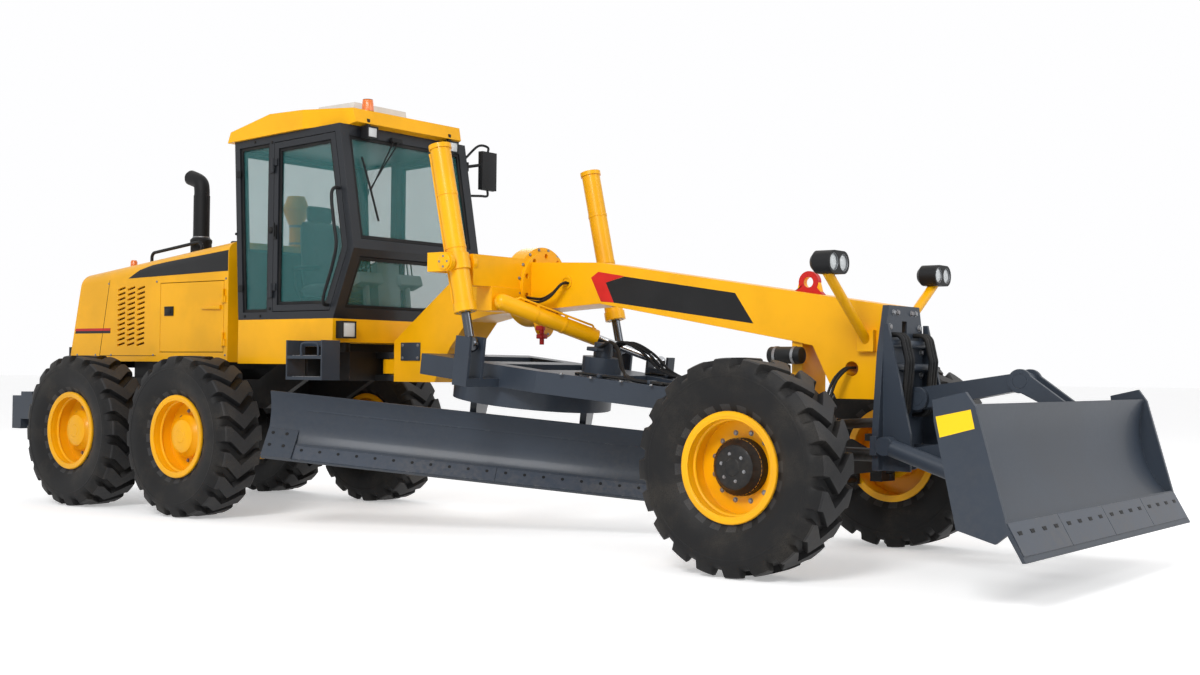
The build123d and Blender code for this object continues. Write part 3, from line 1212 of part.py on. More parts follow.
def shift_axis():
    """Unit direction along the circle shift cylinder."""
    return (Vector(*SHIFT_END) - Vector(*SHIFT_BASE)).normalized()


def shift_barrel():
    """Circle shift cylinder barrel."""
    base = Vector(*SHIFT_BASE)
    end = base + shift_axis() * SHIFT_BARREL_LENGTH
    body = bar(base, end, SHIFT_BARREL_RADIUS) + Pos(*base) * Sphere(SHIFT_BARREL_RADIUS)
    return body - bar(base + shift_axis() * 60.0, end + shift_axis() * 5.0, SHIFT_ROD_RADIUS + RUN_GAP)


def shift_rod():
    """Circle shift cylinder rod."""
    start = Vector(*SHIFT_BASE) + shift_axis() * 150.0
    return bar(start, Vector(*SHIFT_END), SHIFT_ROD_RADIUS) + Pos(*SHIFT_END) * Sphere(SHIFT_BALL_RADIUS)


def front_axle():
    """Front axle beam with its swing pin and lean clevises."""
    pin_z, lean_z = AXLE_PIN_HEIGHT, LEAN_PIN_HEIGHT
    low, high, side = lean_z - 70.0, lean_z + 70.0, LEAN_PIN_SIDE
    beam = end_prism([(-side, low), (side, low), (side, high), (180, pin_z + 90.0), (-180, pin_z + 90.0),
                      (-side, high)], WHEELBASE - AXLE_HALF_DEPTH, WHEELBASE + AXLE_HALF_DEPTH)
    beam += bar((BOLSTER_FRONT, 0, pin_z), (HEAD_FRONT - HEAD_WALL, 0, pin_z), AXLE_PIN_RADIUS)
    for sign in (-1, 1):
        y = sign * LEAN_PIN_SIDE
        beam += bar((WHEELBASE - AXLE_HALF_DEPTH, y, lean_z), (WHEELBASE + AXLE_HALF_DEPTH, y, lean_z), 70.0)
    yoke = lean_yoke()
    return beam + yoke + other_side(yoke) + lean_bar()


def lean_yoke():
    """Left lean yoke: lean pin, king pin fork and bar arm."""
    x, y, z = WHEELBASE, LEAN_PIN_SIDE, LEAN_PIN_HEIGHT
    yoke = bar((x - AXLE_HALF_DEPTH, y, z), (x + AXLE_HALF_DEPTH, y, z), LEAN_PIN_RADIUS)
    yoke += bar((x - 45.0, y, z), (x + 45.0, y, z), 75.0)
    wall = KING_SIDE - YOKE_CLEAR
    yoke += block(x - 45.0, x + 45.0, y, wall, z - 60.0, z + 60.0)
    yoke += block(x - 45.0, x + 45.0, wall - YOKE_WALL, wall, z - 150.0, z + 190.0)
    for base in (z - 150.0, z + 140.0):
        yoke += block(x - 45.0, x + 45.0, wall - YOKE_WALL, KING_SIDE, base, base + 50.0)
        yoke += bar((x, KING_SIDE, base), (x, KING_SIDE, base + 50.0), 60.0)
        yoke -= bar((x, KING_SIDE, base), (x, KING_SIDE, base + 50.0), KING_RADIUS + RUN_GAP)
    yoke += block(x - 45.0, x + 45.0, y + 100.0, wall, z + 140.0, z + 190.0)
    yoke += block(x - 45.0, LEAN_BAR_STATION - 40.0, y + 100.0, y + 155.0, z + 140.0, z + 190.0)
    rear, front = LEAN_BAR_STATION - 110.0, LEAN_BAR_STATION - 40.0
    yoke += block(rear, front, LEAN_BAR_SIDE - 45.0, y + 155.0, z + 140.0, z + 190.0)
    head = LEAN_BAR_HEIGHT + 50.0
    return yoke + block(rear, front, LEAN_BAR_SIDE - 45.0, LEAN_BAR_SIDE + 42.0, z + 140.0, head)


def lean_bar():
    """Cross bar that ties the lean yokes, with its end pins."""
    x, z = LEAN_BAR_STATION, LEAN_BAR_HEIGHT
    body = bar((x, -LEAN_BAR_SIDE, z), (x, LEAN_BAR_SIDE, z), LEAN_BAR_RADIUS)
    for sign in (-1, 1):
        body += bar((x - 45.0, sign * LEAN_BAR_SIDE, z), (x + 35.0, sign * LEAN_BAR_SIDE, z), 42.0)
    return body


def knuckle():
    """Left steering knuckle: king pin, wheel spindle and steering arm."""
    x, z = WHEELBASE, LEAN_PIN_HEIGHT
    body = bar((x, KING_SIDE, z - 150.0), (x, KING_SIDE, z + 190.0), KING_RADIUS)
    body += bar((x, KING_SIDE, z - 95.0), (x, KING_SIDE, z + 135.0), 62.0)
    body += bar((x, KING_SIDE, TYRE_RADIUS), (x, WHEEL_SIDE - HUB_BACK - 25.0, TYRE_RADIUS), 95.0)
    body += bar((x, KING_SIDE, TYRE_RADIUS), (x, spindle_end(), TYRE_RADIUS), SPINDLE_RADIUS)
    body += block(x - STEER_ARM, x, KING_SIDE - 30.0, KING_SIDE + 30.0, z - 95.0, z - 45.0)
    return body + bar((x - STEER_ARM, KING_SIDE, z - 95.0), (x - STEER_ARM, KING_SIDE, z - 45.0), 42.0)


def tie_rod():
    """Tie rod under the two steering arms."""
    x, z = WHEELBASE - STEER_ARM, LEAN_PIN_HEIGHT - 95.0 - 60.0
    rod = bar((x, KING_SIDE, z), (x, -KING_SIDE, z), TIE_RADIUS)
    for y in (-KING_SIDE, KING_SIDE):
        rod += bar((x, y, z - 34.0), (x, y, z + 59.5), 34.0)
    return rod


def pivot_plate(outline, pin, y0, y1):
    """Side plate between two sides with a round end and a bore for its pin."""
    low, high = min(y0, y1), max(y0, y1)
    start, end = (pin[0], low, pin[1]), (pin[0], high, pin[1])
    plate = side_prism(outline, low, high) + bar(start, end, PIVOT_EAR_RADIUS)
    return plate - bar(start, end, LINK_PIN_RADIUS + RUN_GAP)


def push_cheek_sides():
    """Inner sides of the two cheeks that hold a push arm's pin."""
    return (PUSH_SIDE - PUSH_HALF - PIVOT_GAP - PIVOT_CHEEK, PUSH_SIDE + PUSH_HALF + PIVOT_GAP)


def dozer_bracket():
    """Front bracket: tall plate, tapered gussets and pivot cheeks."""
    rear, front = BRACKET_REAR, BRACKET_REAR + BRACKET_PLATE
    foot = BRACKET_FOOT_HALF
    plate = end_prism([(-foot, BRACKET_BOTTOM), (foot, BRACKET_BOTTOM), (foot, 900), (BRACKET_HALF, 1400),
                       (220, BRACKET_TOP), (-220, BRACKET_TOP), (-BRACKET_HALF, 1400), (-foot, 900)],
                      rear, front)
    plate -= block(rear, front, -35, 35, 1460, 1600)
    inner, outer = push_cheek_sides()
    tip, ear = LINK_REAR + 60.0, PIVOT_EAR_RADIUS
    fin = [(front, BRACKET_BOTTOM), (tip, BRACKET_BOTTOM), (tip, LOWER_PIVOT + 160.0),
           (front + 30.0, BRACKET_TOP - 120.0), (front, BRACKET_TOP - 120.0)]
    lower = [(front, LOWER_PIVOT - ear), (LINK_REAR, LOWER_PIVOT - ear), (LINK_REAR, LOWER_PIVOT + ear),
             (front, LOWER_PIVOT + ear)]
    upper = [(x, z + UPPER_PIVOT - LOWER_PIVOT) for x, z in lower]
    for sign in (-1, 1):
        ends = (sign * outer, sign * (outer + PIVOT_CHEEK))
        plate += side_prism(fin, min(ends), max(ends))
        for y in (inner, outer):
            plate += pivot_plate(lower, (LINK_REAR, LOWER_PIVOT), sign * y, sign * (y + PIVOT_CHEEK))
        plate -= bar((LINK_REAR, ends[0], LOWER_PIVOT), (LINK_REAR, ends[1], LOWER_PIVOT),
                     LINK_PIN_RADIUS + RUN_GAP)
        y = sign * TOP_CHEEK_SIDE
        plate += pivot_plate(upper, (LINK_REAR, UPPER_PIVOT), y, y + sign * TOP_CHEEK)
        plate += block(rear, front, sign * (foot - 20.0), sign * (RAM_SIDE + 25.0), RAM_BASE_HEIGHT - 60.0,
                       RAM_BASE_HEIGHT + 60.0)
    for z, ahead in ((BRACKET_TOP - 400.0, 50.0), (BRACKET_TOP - 250.0, 34.0)):
        plate += bar((front + ahead, -outer, z), (front + ahead, outer, z), CROSS_BAR_RADIUS)
    return plate


def ram_axis():
    """Unit direction along a dozer cylinder."""
    return Vector(RAM_END_STATION - RAM_BASE_STATION, 0, RAM_END_HEIGHT - RAM_BASE_HEIGHT).normalized()


def dozer_links():
    """Lower push arms joined by a cross tube."""
    a = (LINK_REAR, LOWER_PIVOT)
    b = (LINK_REAR + LINK_RUN, LOWER_PIVOT + LINK_RISE)
    arms = None
    for sign in (-1, 1):
        y0, y1 = sign * PUSH_SIDE - PUSH_HALF, sign * PUSH_SIDE + PUSH_HALF
        arm = side_prism([(a[0], a[1] - 60), (b[0], b[1] - 60), (b[0], b[1] + 60), (a[0], a[1] + 60)], y0, y1)
        for x, z in (a, b):
            arm += bar((x, y0, z), (x, y1, z), 60.0)
            reach = PIVOT_GAP + PIVOT_CHEEK
            arm += bar((x, y0 - reach, z), (x, y1 + reach, z), LINK_PIN_RADIUS)
        arms = arm if arms is None else arms + arm
    mid = ((a[0] + b[0]) / 2, (a[1] + b[1]) / 2)
    return arms + bar((mid[0], -PUSH_SIDE, mid[1]), (mid[0], PUSH_SIDE, mid[1]), 48.0)


def dozer_top_link():
    """Upper box link with its big pins."""
    a = (LINK_REAR, UPPER_PIVOT)
    b = (LINK_REAR + LINK_RUN, UPPER_PIVOT + LINK_RISE)
    link = side_prism([(a[0], a[1] - 70), (b[0], b[1] - 55), (b[0], b[1] + 55), (a[0], a[1] + 70)], -60, 60)
    reach = TOP_CHEEK_SIDE + TOP_CHEEK
    for (x, z), radius in ((a, 70.0), (b, 55.0)):
        link += bar((x, -60, z), (x, 60, z), radius)
        link += bar((x, -reach, z), (x, reach, z), LINK_PIN_RADIUS)
    return link


def dozer_arc(setback):
    """Front or back curve of the dozer blade's section."""
    top = (DOZER_TOP_STATION - setback, DOZER_TOP)
    low = (DOZER_LOW_STATION - setback, DOZER_LOW)
    mid = ((top[0] + low[0]) / 2 - DOZER_HOLLOW, (top[1] + low[1]) / 2)
    return top, mid, low


def dozer_blade():
    """Curved dozer blade with side plates and rear ears."""
    top, mid, low = dozer_arc(0.0)
    top_b, mid_b, low_b = dozer_arc(DOZER_PLATE)
    outline = [ThreePointArc(top, mid, low), Line(low, low_b), ThreePointArc(low_b, mid_b, top_b),
               Line(top_b, top)]
    plane = Plane(origin=(0, DOZER_HALF, 0), x_dir=(1, 0, 0), z_dir=(0, -1, 0))
    blade = extrude(plane * make_face(outline), 2 * DOZER_HALF)
    x = DOZER_TOP_STATION
    side_plate = [(x - 230.0, DOZER_TOP + 20.0), (x - 40.0, DOZER_TOP + 65.0), (x + 15.0, DOZER_TOP - 10.0),
                  (x + DOZER_LEAN + 5.0, DOZER_LOW), (x + 130.0, DOZER_LOW - 60.0), (x - 90.0, DOZER_LOW),
                  (x - 220.0, DOZER_TOP - 100.0)]
    clear = dozer_front_space()
    pin = (LINK_REAR + LINK_RUN, LOWER_PIVOT + LINK_RISE)
    push_ear = [(pin[0], pin[1] - 75), (x + 10.0, pin[1] - 160), (x + 10.0, pin[1] + 110),
                (pin[0], pin[1] + 75)]
    top_pin = (LINK_REAR + LINK_RUN, UPPER_PIVOT + LINK_RISE)
    top_ear = [(top_pin[0] - 60.0, top_pin[1] - 40), (x + 30.0, DOZER_TOP - 100.0),
               (x + 30.0, DOZER_TOP - 20.0), (top_pin[0] + 70.0, top_pin[1] + 30)]
    ram_back = RAM_END_STATION - 60.0
    ram_ear = [(ram_back, RAM_END_HEIGHT - 55), (x + 120.0, DOZER_LOW + 15.0), (x + 60.0, DOZER_LOW + 235.0),
               (ram_back, RAM_END_HEIGHT + 55)]
    for sign in (-1, 1):
        ends = (sign * DOZER_HALF, sign * (DOZER_HALF - DOZER_SIDE_PLATE))
        blade += side_prism(side_plate, min(ends), max(ends))
        for y in push_cheek_sides():
            blade += pivot_plate(push_ear, pin, sign * y, sign * (y + PIVOT_CHEEK)) - clear
        y = sign * TOP_CHEEK_SIDE
        blade += pivot_plate(top_ear, top_pin, y, y + sign * TOP_CHEEK) - clear
        for y in (RAM_SIDE - 66.0, RAM_SIDE + 36.0):
            ends = (sign * y, sign * (y + TOP_CHEEK))
            blade += side_prism(ram_ear, min(ends), max(ends)) - clear
    return blade + dozer_edge()


def dozer_front_space():
    """Everything ahead of the dozer blade's back face."""
    top_b, mid_b, low_b = dozer_arc(DOZER_PLATE / 2)
    far = DOZER_TIP_STATION + 400.0
    low, high = (far, low_b[1]), (far, top_b[1])
    outline = [ThreePointArc(top_b, mid_b, low_b), Line(low_b, low), Line(low, high), Line(high, top_b)]
    plane = Plane(origin=(0, DOZER_HALF, 0), x_dir=(1, 0, 0), z_dir=(0, -1, 0))
    return extrude(plane * make_face(outline), 2 * DOZER_HALF)


def dozer_edge():
    """Bolted cutting edge of the dozer blade."""
    run, drop = DOZER_TIP_STATION - DOZER_LOW_STATION, DOZER_LOW - DOZER_TIP
    length = hypot(run, drop)
    nx, nz = drop / length, run / length
    top = (DOZER_LOW_STATION + 0.5 * nx - 0.35 * run, DOZER_LOW + 0.5 * nz + 0.35 * drop)
    lap, t = DOZER_EDGE_LAP, DOZER_EDGE_THICK
    pts = [(top[0] - lap * nx, top[1] - lap * nz), (DOZER_TIP_STATION - t * nx, DOZER_TIP - t * nz + 12.0),
           (DOZER_TIP_STATION, DOZER_TIP), (top[0] + (t - lap) * nx, top[1] + (t - lap) * nz)]
    return side_prism(pts, -DOZER_HALF, DOZER_HALF)


def ram_barrel(sign):
    """Dozer lift cylinder barrel with its base eye."""
    base = Vector(RAM_BASE_STATION, sign * RAM_SIDE, RAM_BASE_HEIGHT)
    end = base + ram_axis() * RAM_BARREL_LENGTH
    body = bar(base + ram_axis() * 40.0, end, RAM_BARREL_RADIUS)
    body += bar((base.X, base.Y - 45.0, base.Z), (base.X, base.Y + 45.0, base.Z), RAM_EYE_RADIUS)
    return body - bar(base + ram_axis() * 110.0, end + ram_axis() * 5.0, RAM_ROD_RADIUS + RUN_GAP)


def ram_rod(sign):
    """Dozer lift cylinder rod with its eye."""
    base = Vector(RAM_BASE_STATION, sign * RAM_SIDE, RAM_BASE_HEIGHT)
    end = Vector(RAM_END_STATION, sign * RAM_SIDE, RAM_END_HEIGHT)
    rod = bar(base + ram_axis() * RAM_ROD_START, end, RAM_ROD_RADIUS)
    return rod + bar((end.X, end.Y - 35.5, end.Z), (end.X, end.Y + 35.5, end.Z), 42.0)


def pod_head(sign):
    """Point under a lamp pod where its post ends."""
    return Vector(POD_STATION, sign * POD_SIDE, POD_HEIGHT - POD_HALF_HEIGHT)


def lamp_pod(sign):
    """Twin lamp pod with rounded ends and two lens recesses."""
    side = sign * POD_SIDE
    back = Plane(origin=(POD_STATION - POD_HALF_DEPTH, side, POD_HEIGHT), x_dir=(0, 1, 0), z_dir=(1, 0, 0))
    pod = extrude(back * SlotOverall(2 * POD_HALF_WIDTH, 2 * POD_HALF_HEIGHT), 2 * POD_HALF_DEPTH)
    pod = chamfer(pod.faces().sort_by(Axis.X)[0].edges(), POD_CHAMFER)
    face = POD_STATION + POD_HALF_DEPTH
    for y in (side - POD_LENS_SIDE, side + POD_LENS_SIDE):
        pod -= bar((face - LENS_RECESS, y, POD_HEIGHT), (face, y, POD_HEIGHT), LENS_RADIUS)
    return pod


def lamp_pods():
    """Lamp pods on both sides of the front head."""
    return Compound(children=[lamp_pod(sign) for sign in (-1, 1)])


def lamp_posts():
    """Slanted lamp posts with their foot blocks on the front head."""
    posts = []
    for sign in (-1, 1):
        foot = Vector(POD_STATION - POST_LEAN, sign * (BEAM_HALF_WIDTH + 20.0), POST_FOOT)
        along = (pod_head(sign) - foot).normalized()
        post = bar(foot, pod_head(sign) + along * POST_RADIUS, POST_RADIUS) - lamp_pod(sign)
        post += block(foot.X - 60.0, foot.X + 60.0, sign * BEAM_HALF_WIDTH, sign * (BEAM_HALF_WIDTH + 45.0),
                      POST_FOOT - 70.0, POST_FOOT + 70.0)
        posts.append(post)
    return Compound(children=posts)


def pieces():
    """Every node by name, in the tandem pivot's stations."""
    nodes = {
        "rear_frame": rear_frame(), "tandem_drive": tandem_drive(),
        "rear_beam": rear_beam(), "engine_block": engine_block(), "hood": hood(),
        "exhaust": exhaust(), "air_cleaner": air_cleaner(),
        "hood_rails": hood_rails(), "cab_base": cab_base(), "cab_frame": cab_frame(), "cab_roof": cab_roof(),
        "cab_glass": cab_glass(), "roof_unit": roof_unit(), "cab_lamps": cab_lamps(),
        "mirror_arm": mirror_arm(), "steps": steps(), "seat": seat(), "console": console(),
        "engine_door_left": engine_door(), "engine_door_right": other_side(engine_door()),
        "cab_door_left": cab_door(), "cab_door_right": other_side(cab_door()),
        "door_glass_left": cab_door_glass(), "door_glass_right": other_side(cab_door_glass()),
        "gooseneck": gooseneck(), "saddle": saddle(), "front_axle": front_axle(),
        "dozer_bracket": dozer_bracket(), "lamp_posts": lamp_posts(),
        "lamp_pods": lamp_pods(), "hydraulic_hoses": hydraulic_hoses(),
        "knuckle_left": knuckle(), "knuckle_right": other_side(knuckle()),
        "tie_rod": tie_rod(),
        "drawbar": drawbar(), "circle": circle(), "moldboard": moldboard(),
        "shift_barrel": shift_barrel(), "shift_rod": shift_rod(),
        "dozer_links": dozer_links(), "dozer_top_link": dozer_top_link(), "dozer_blade": dozer_blade(),
    }
    nodes["lift_barrels"] = Compound(children=[lift_barrel(s) for s in (1, -1)])
    nodes["lift_rods"] = Compound(children=[lift_rod(s) for s in (1, -1)])
    rams, rods = [ram_barrel(s) for s in (1, -1)], [ram_rod(s) for s in (1, -1)]
    nodes["ram_barrels"] = Compound(children=rams)
    nodes["ram_rods"] = Compound(children=rods)
    for name, station, sign in wheel_places():
        nodes[f"{name}_rim"] = on_axle(rim(), station, sign)
        nodes[f"{name}_tyre"] = on_axle(tyre(), station, sign)
    return nodes


def main():
    """Write one file per node, in the frame centred on the machine's length."""
    os.makedirs("parts", exist_ok=True)
    for name, shape in pieces().items():
        export_step(Pos(-MID_STATION, 0, 0) * shape, f"parts/{name}.step")


if __name__ == "__main__":
    main()
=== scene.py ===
"""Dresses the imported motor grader: finishes, fittings, studio and camera."""

from __future__ import annotations

import logging
import math
from dataclasses import dataclass, field
from enum import Enum
from typing import Iterable, Sequence

import bmesh
import bpy
from mathutils import Matrix, Vector


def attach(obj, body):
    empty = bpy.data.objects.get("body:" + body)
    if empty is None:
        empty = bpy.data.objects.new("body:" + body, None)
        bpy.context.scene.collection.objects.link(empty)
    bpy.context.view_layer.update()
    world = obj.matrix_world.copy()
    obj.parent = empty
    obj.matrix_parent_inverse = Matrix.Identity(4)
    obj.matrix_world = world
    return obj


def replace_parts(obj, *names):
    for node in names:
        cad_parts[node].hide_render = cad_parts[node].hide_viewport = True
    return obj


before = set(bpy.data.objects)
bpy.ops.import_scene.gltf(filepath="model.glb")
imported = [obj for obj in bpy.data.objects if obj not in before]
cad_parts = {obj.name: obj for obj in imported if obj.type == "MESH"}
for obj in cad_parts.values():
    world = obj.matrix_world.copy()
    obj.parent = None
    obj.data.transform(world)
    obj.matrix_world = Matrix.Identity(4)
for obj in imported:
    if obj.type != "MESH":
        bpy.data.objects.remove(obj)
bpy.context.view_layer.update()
LOG = logging.getLogger("grader")
MIDDLE = 2.935  # station of the row frame's origin, ahead of the tandem pivot
FILM = 0.0015  # thickness of the bands, stripes and seams
UP, AHEAD = (0, 0, 1), (1, 0, 0)
SIDES = (("left", 1.0), ("right", -1.0))
REAR, FRONT = "rear_frame", "front_frame"

Point = Sequence[float]
Profile = tuple[tuple[float, float], ...]


def at(station: float, side: float, height: float) -> Vector:
    """Point of the row frame from a station ahead of the tandem pivot, in metres."""
    return Vector((station - MIDDLE, side, height))


def srgb(red: int, green: int, blue: int) -> tuple[float, float, float, float]:
    """Linear colour with full alpha from 8-bit screen values."""
    shares = (value / 255 for value in (red, green, blue))
    return (*(s / 12.92 if s <= 0.04045 else ((s + 0.055) / 1.055) ** 2.4 for s in shares), 1.0)


def scaled(colour: Sequence[float], share: float) -> tuple[float, ...]:
    """A colour made darker or paler, with full alpha."""
    return (*(share * c for c in colour[:3]), 1.0)


def rectangle(left: float, low: float, right: float, high: float) -> Profile:
    """Corners of a level rectangle, anticlockwise from its first."""
    return ((left, low), (right, low), (right, high), (left, high))


def inset(corners: Sequence[Point], width: float) -> list[Vector]:
    """Draw a flat outline in.

    Args:
        corners: Corner points in order.
        width: Distance inwards.

    Returns:
        The inner corners in the same order.
    """
    points = [Vector(p) for p in corners]
    after = points[1:] + points[:1]
    middle = sum(points, Vector()) / len(points)
    normal = sum(((a - middle).cross(b - middle) for a, b in zip(points, after)), Vector()).normalized()
    ways = [normal.cross((b - a).normalized()) for a, b in zip(points, after)]
    return [p + width * (ways[k - 1] + ways[k]) / (1 + ways[k - 1].dot(ways[k])) for k, p in enumerate(points)]


def clip(corners: Sequence[Vector], station: float, ahead: bool) -> list[Vector]:
    """Keep the part of a flat outline on one side of a station.

    Args:
        corners: Corner points in order.
        station: Where the cut lies.
        ahead: True to keep the front part.

    Returns:
        The corners of the kept part.
    """
    edge = station - MIDDLE
    kept = []
    for a, b in zip(corners, [*corners[1:], corners[0]]):
        if (a.x >= edge) == ahead:
            kept.append(a)
        if (a.x >= edge) != (b.x >= edge):
            kept.append(a.lerp(b, (edge - a.x) / (b.x - a.x)))
    return kept


class Tone(Enum):
    """Colours of the machine's own finishes."""

    YELLOW = srgb(250, 180, 2)
    SLATE = srgb(50, 58, 69)
    CHARCOAL = srgb(31, 34, 39)
    BLACK = srgb(15, 16, 18)
    RUBBER = srgb(18, 18, 19)
    # Lighter rubber for the lug tops: a painted highlight, not a colour the tyre has of its own.
    LUG_TOP_HIGHLIGHT = srgb(44, 44, 45)
    DUST = srgb(150, 138, 120)
    STEEL = srgb(150, 152, 155)
    CHROME = srgb(205, 207, 210)
    RED = srgb(190, 28, 24)
    AMBER = srgb(240, 120, 10)
    WHITE = srgb(206, 207, 205)
    # Chrome darkened to a mid grey: a painted reflection of dark surroundings, not the rods' own colour.
    ROD_PAINTED_REFLECTION = srgb(92, 95, 100)
    GLASS = srgb(60, 128, 128)
    LENS = srgb(225, 230, 232)
    CLOTH = srgb(38, 39, 43)
    TRIM = srgb(146, 156, 156)
    WORN = srgb(60, 68, 80)
    PLATE = srgb(250, 205, 20)
    RUST = srgb(96, 62, 40)


class Signal:
    """A shader socket with arithmetic, so that masks read as formulas."""

    def __init__(self, bench: "Bench", socket: bpy.types.NodeSocket) -> None:
        """Wrap a socket of a bench's node tree."""
        self.bench = bench
        self.socket = socket

    def _math(self, operation: str, *values: "Signal | float") -> "Signal":
        """Add a Math node over the given values."""
        return self.bench.node("ShaderNodeMath", {"operation": operation}, dict(enumerate(values)))

    def __add__(self, other: "Signal | float") -> "Signal":
        """Sum."""
        return self._math("ADD", self, other)

    __radd__ = __add__

    def __sub__(self, other: "Signal | float") -> "Signal":
        """Difference."""
        return self._math("SUBTRACT", self, other)

    def __rsub__(self, other: float) -> "Signal":
        """Difference from a number."""
        return self._math("SUBTRACT", other, self)

    def __mul__(self, other: "Signal | float") -> "Signal":
        """Product."""
        return self._math("MULTIPLY", self, other)

    __rmul__ = __mul__

    def step(self, low: float, high: float) -> "Signal":
        """Smooth step from 0 at low to 1 at high."""
        return self.bench.node("ShaderNodeMapRange", {"interpolation_type": "SMOOTHSTEP"},
                               {"Value": self, "From Min": low, "From Max": high})

    def most(self, other: "Signal | float") -> "Signal":
        """The larger of two values."""
        return self._math("MAXIMUM", self, other)


class Bench:
    """The node tree of a material or world, with short ways to add to it."""

    def __init__(self, owner: bpy.types.Material | bpy.types.World, shader: str = "Principled BSDF") -> None:
        """Start on a new material's or world's own shader.

        Args:
            owner: The material or world.
            shader: Name of its shader node.
        """
        owner.use_nodes = True
        self.owner = owner
        self.tree = owner.node_tree
        self.shader = self.tree.nodes[shader]

    def node(self, kind: str, settings: dict[str, object] | None = None,
             inputs: dict[str | int, object] | None = None, output: str | int = 0) -> Signal:
        """Add any node.

        Args:
            kind: The node's type.
            settings: Properties set before its sockets.
            inputs: Values or signals by socket name or number.
            output: Name or number of the socket to return.

        Returns:
            The chosen output as a signal.
        """
        made = self.tree.nodes.new(kind)
        for key, value in (settings or {}).items():
            setattr(made, key, value)
        for key, value in (inputs or {}).items():
            self.feed(made.inputs[key], value)
        return Signal(self, made.outputs[output])

    def feed(self, socket: bpy.types.NodeSocket, value: object) -> None:
        """Set or link a socket.

        Args:
            socket: Input socket of a node.
            value: Number, colour or signal for it.
        """
        if isinstance(value, Signal):
            self.tree.links.new(value.socket, socket)
        else:
            socket.default_value = value

    def set(self, **sockets: object) -> None:
        """Feed the shader's sockets, named with underscores for spaces."""
        for name, value in sockets.items():
            self.feed(self.shader.inputs[name.replace("_", " ")], value)

    def place(self) -> Signal:
        """Position in the row frame, the same for every piece."""
        return self.node("ShaderNodeTexCoord", output="Object")

    def noise(self, scale: float, detail: float = 4.0, rough: float = 0.55,
              stretch: Point = (1.0, 1.0, 1.0)) -> Signal:
        """Cloud noise between 0 and 1 over the position."""
        spot = self.node("ShaderNodeMapping", inputs={"Vector": self.place(), "Scale": tuple(stretch)})
        return self.node("ShaderNodeTexNoise", inputs={"Vector": spot, "Scale": scale, "Detail": detail,
                                                       "Roughness": rough})

    def axis(self, name: str) -> Signal:
        """One coordinate of the position."""
        return self.node("ShaderNodeSeparateXYZ", inputs={0: self.place()}, output=name)

    def up(self) -> Signal:
        """How far a surface faces upwards."""
        normal = self.node("ShaderNodeNewGeometry", output="Normal")
        return self.node("ShaderNodeSeparateXYZ", inputs={0: normal}, output="Z")

    def inside(self, corners: Profile, reach: float) -> Signal:
        """Mask a flat area on both outer flanks.

        Args:
            corners: Stations and heights of its corners, clockwise seen from the right.
            reach: Distance of the flanks from the middle.

        Returns:
            One inside the area and zero outside it.
        """
        side = self.axis("Y")
        mask = (side * side).step((reach - 0.004) ** 2, (reach - 0.003) ** 2)
        for (x0, z0), (x1, z1) in zip(corners, (*corners[1:], corners[0])):
            run = math.hypot(x1 - x0, z1 - z0)
            ahead, above = self.axis("X") + (MIDDLE - x0), self.axis("Z") + (-z0)
            mask = mask * (ahead * ((z1 - z0) / run) - above * ((x1 - x0) / run)).step(-0.0005, 0.0005)
        return mask

    def seen(self) -> Signal:
        """One where the camera looks, straight, in a mirror or through glass, and zero for other light."""
        kinds = ("Is Camera Ray", "Is Glossy Ray", "Is Transmission Ray")
        camera, glossy, through = (self.node("ShaderNodeLightPath", output=kind) for kind in kinds)
        return camera.most(glossy).most(through)

    def mix(self, share: Signal | float, first: object, second: object) -> Signal:
        """Blend of two colours."""
        return self.node("ShaderNodeMix", {"data_type": "RGBA"}, {0: share, 6: first, 7: second}, 2)

    def soft_edges(self, radius: float) -> Signal:
        """Normal with edges rounded over a radius."""
        return self.node("ShaderNodeBevel", {"samples": 4}, {"Radius": radius})

    def edges(self, radius: float) -> Signal:
        """Mask the surface near its sharp edges.

        Args:
            radius: How far the mask reaches from an edge.

        Returns:
            One on an edge and zero away from it.
        """
        rounded = self.soft_edges(radius)
        flat = self.node("ShaderNodeNewGeometry", output="True Normal")
        same = self.node("ShaderNodeVectorMath", {"operation": "DOT_PRODUCT"}, {0: rounded, 1: flat}, "Value")
        return (1 - same).step(0.01, 0.16)

    def bump(self, height: Signal, strength: float, distance: float, normal: Signal | None = None) -> Signal:
        """Raise a surface by a height signal.

        Args:
            height: Heights between 0 and 1.
            strength: How strongly they show.
            distance: Height of a 1 in metres.
            normal: Normal to start from.

        Returns:
            The bumped normal.
        """
        inputs: dict[str | int, object] = {"Height": height, "Strength": strength, "Distance": distance}
        if normal is not None:
            inputs["Normal"] = normal
        return self.node("ShaderNodeBump", inputs=inputs)


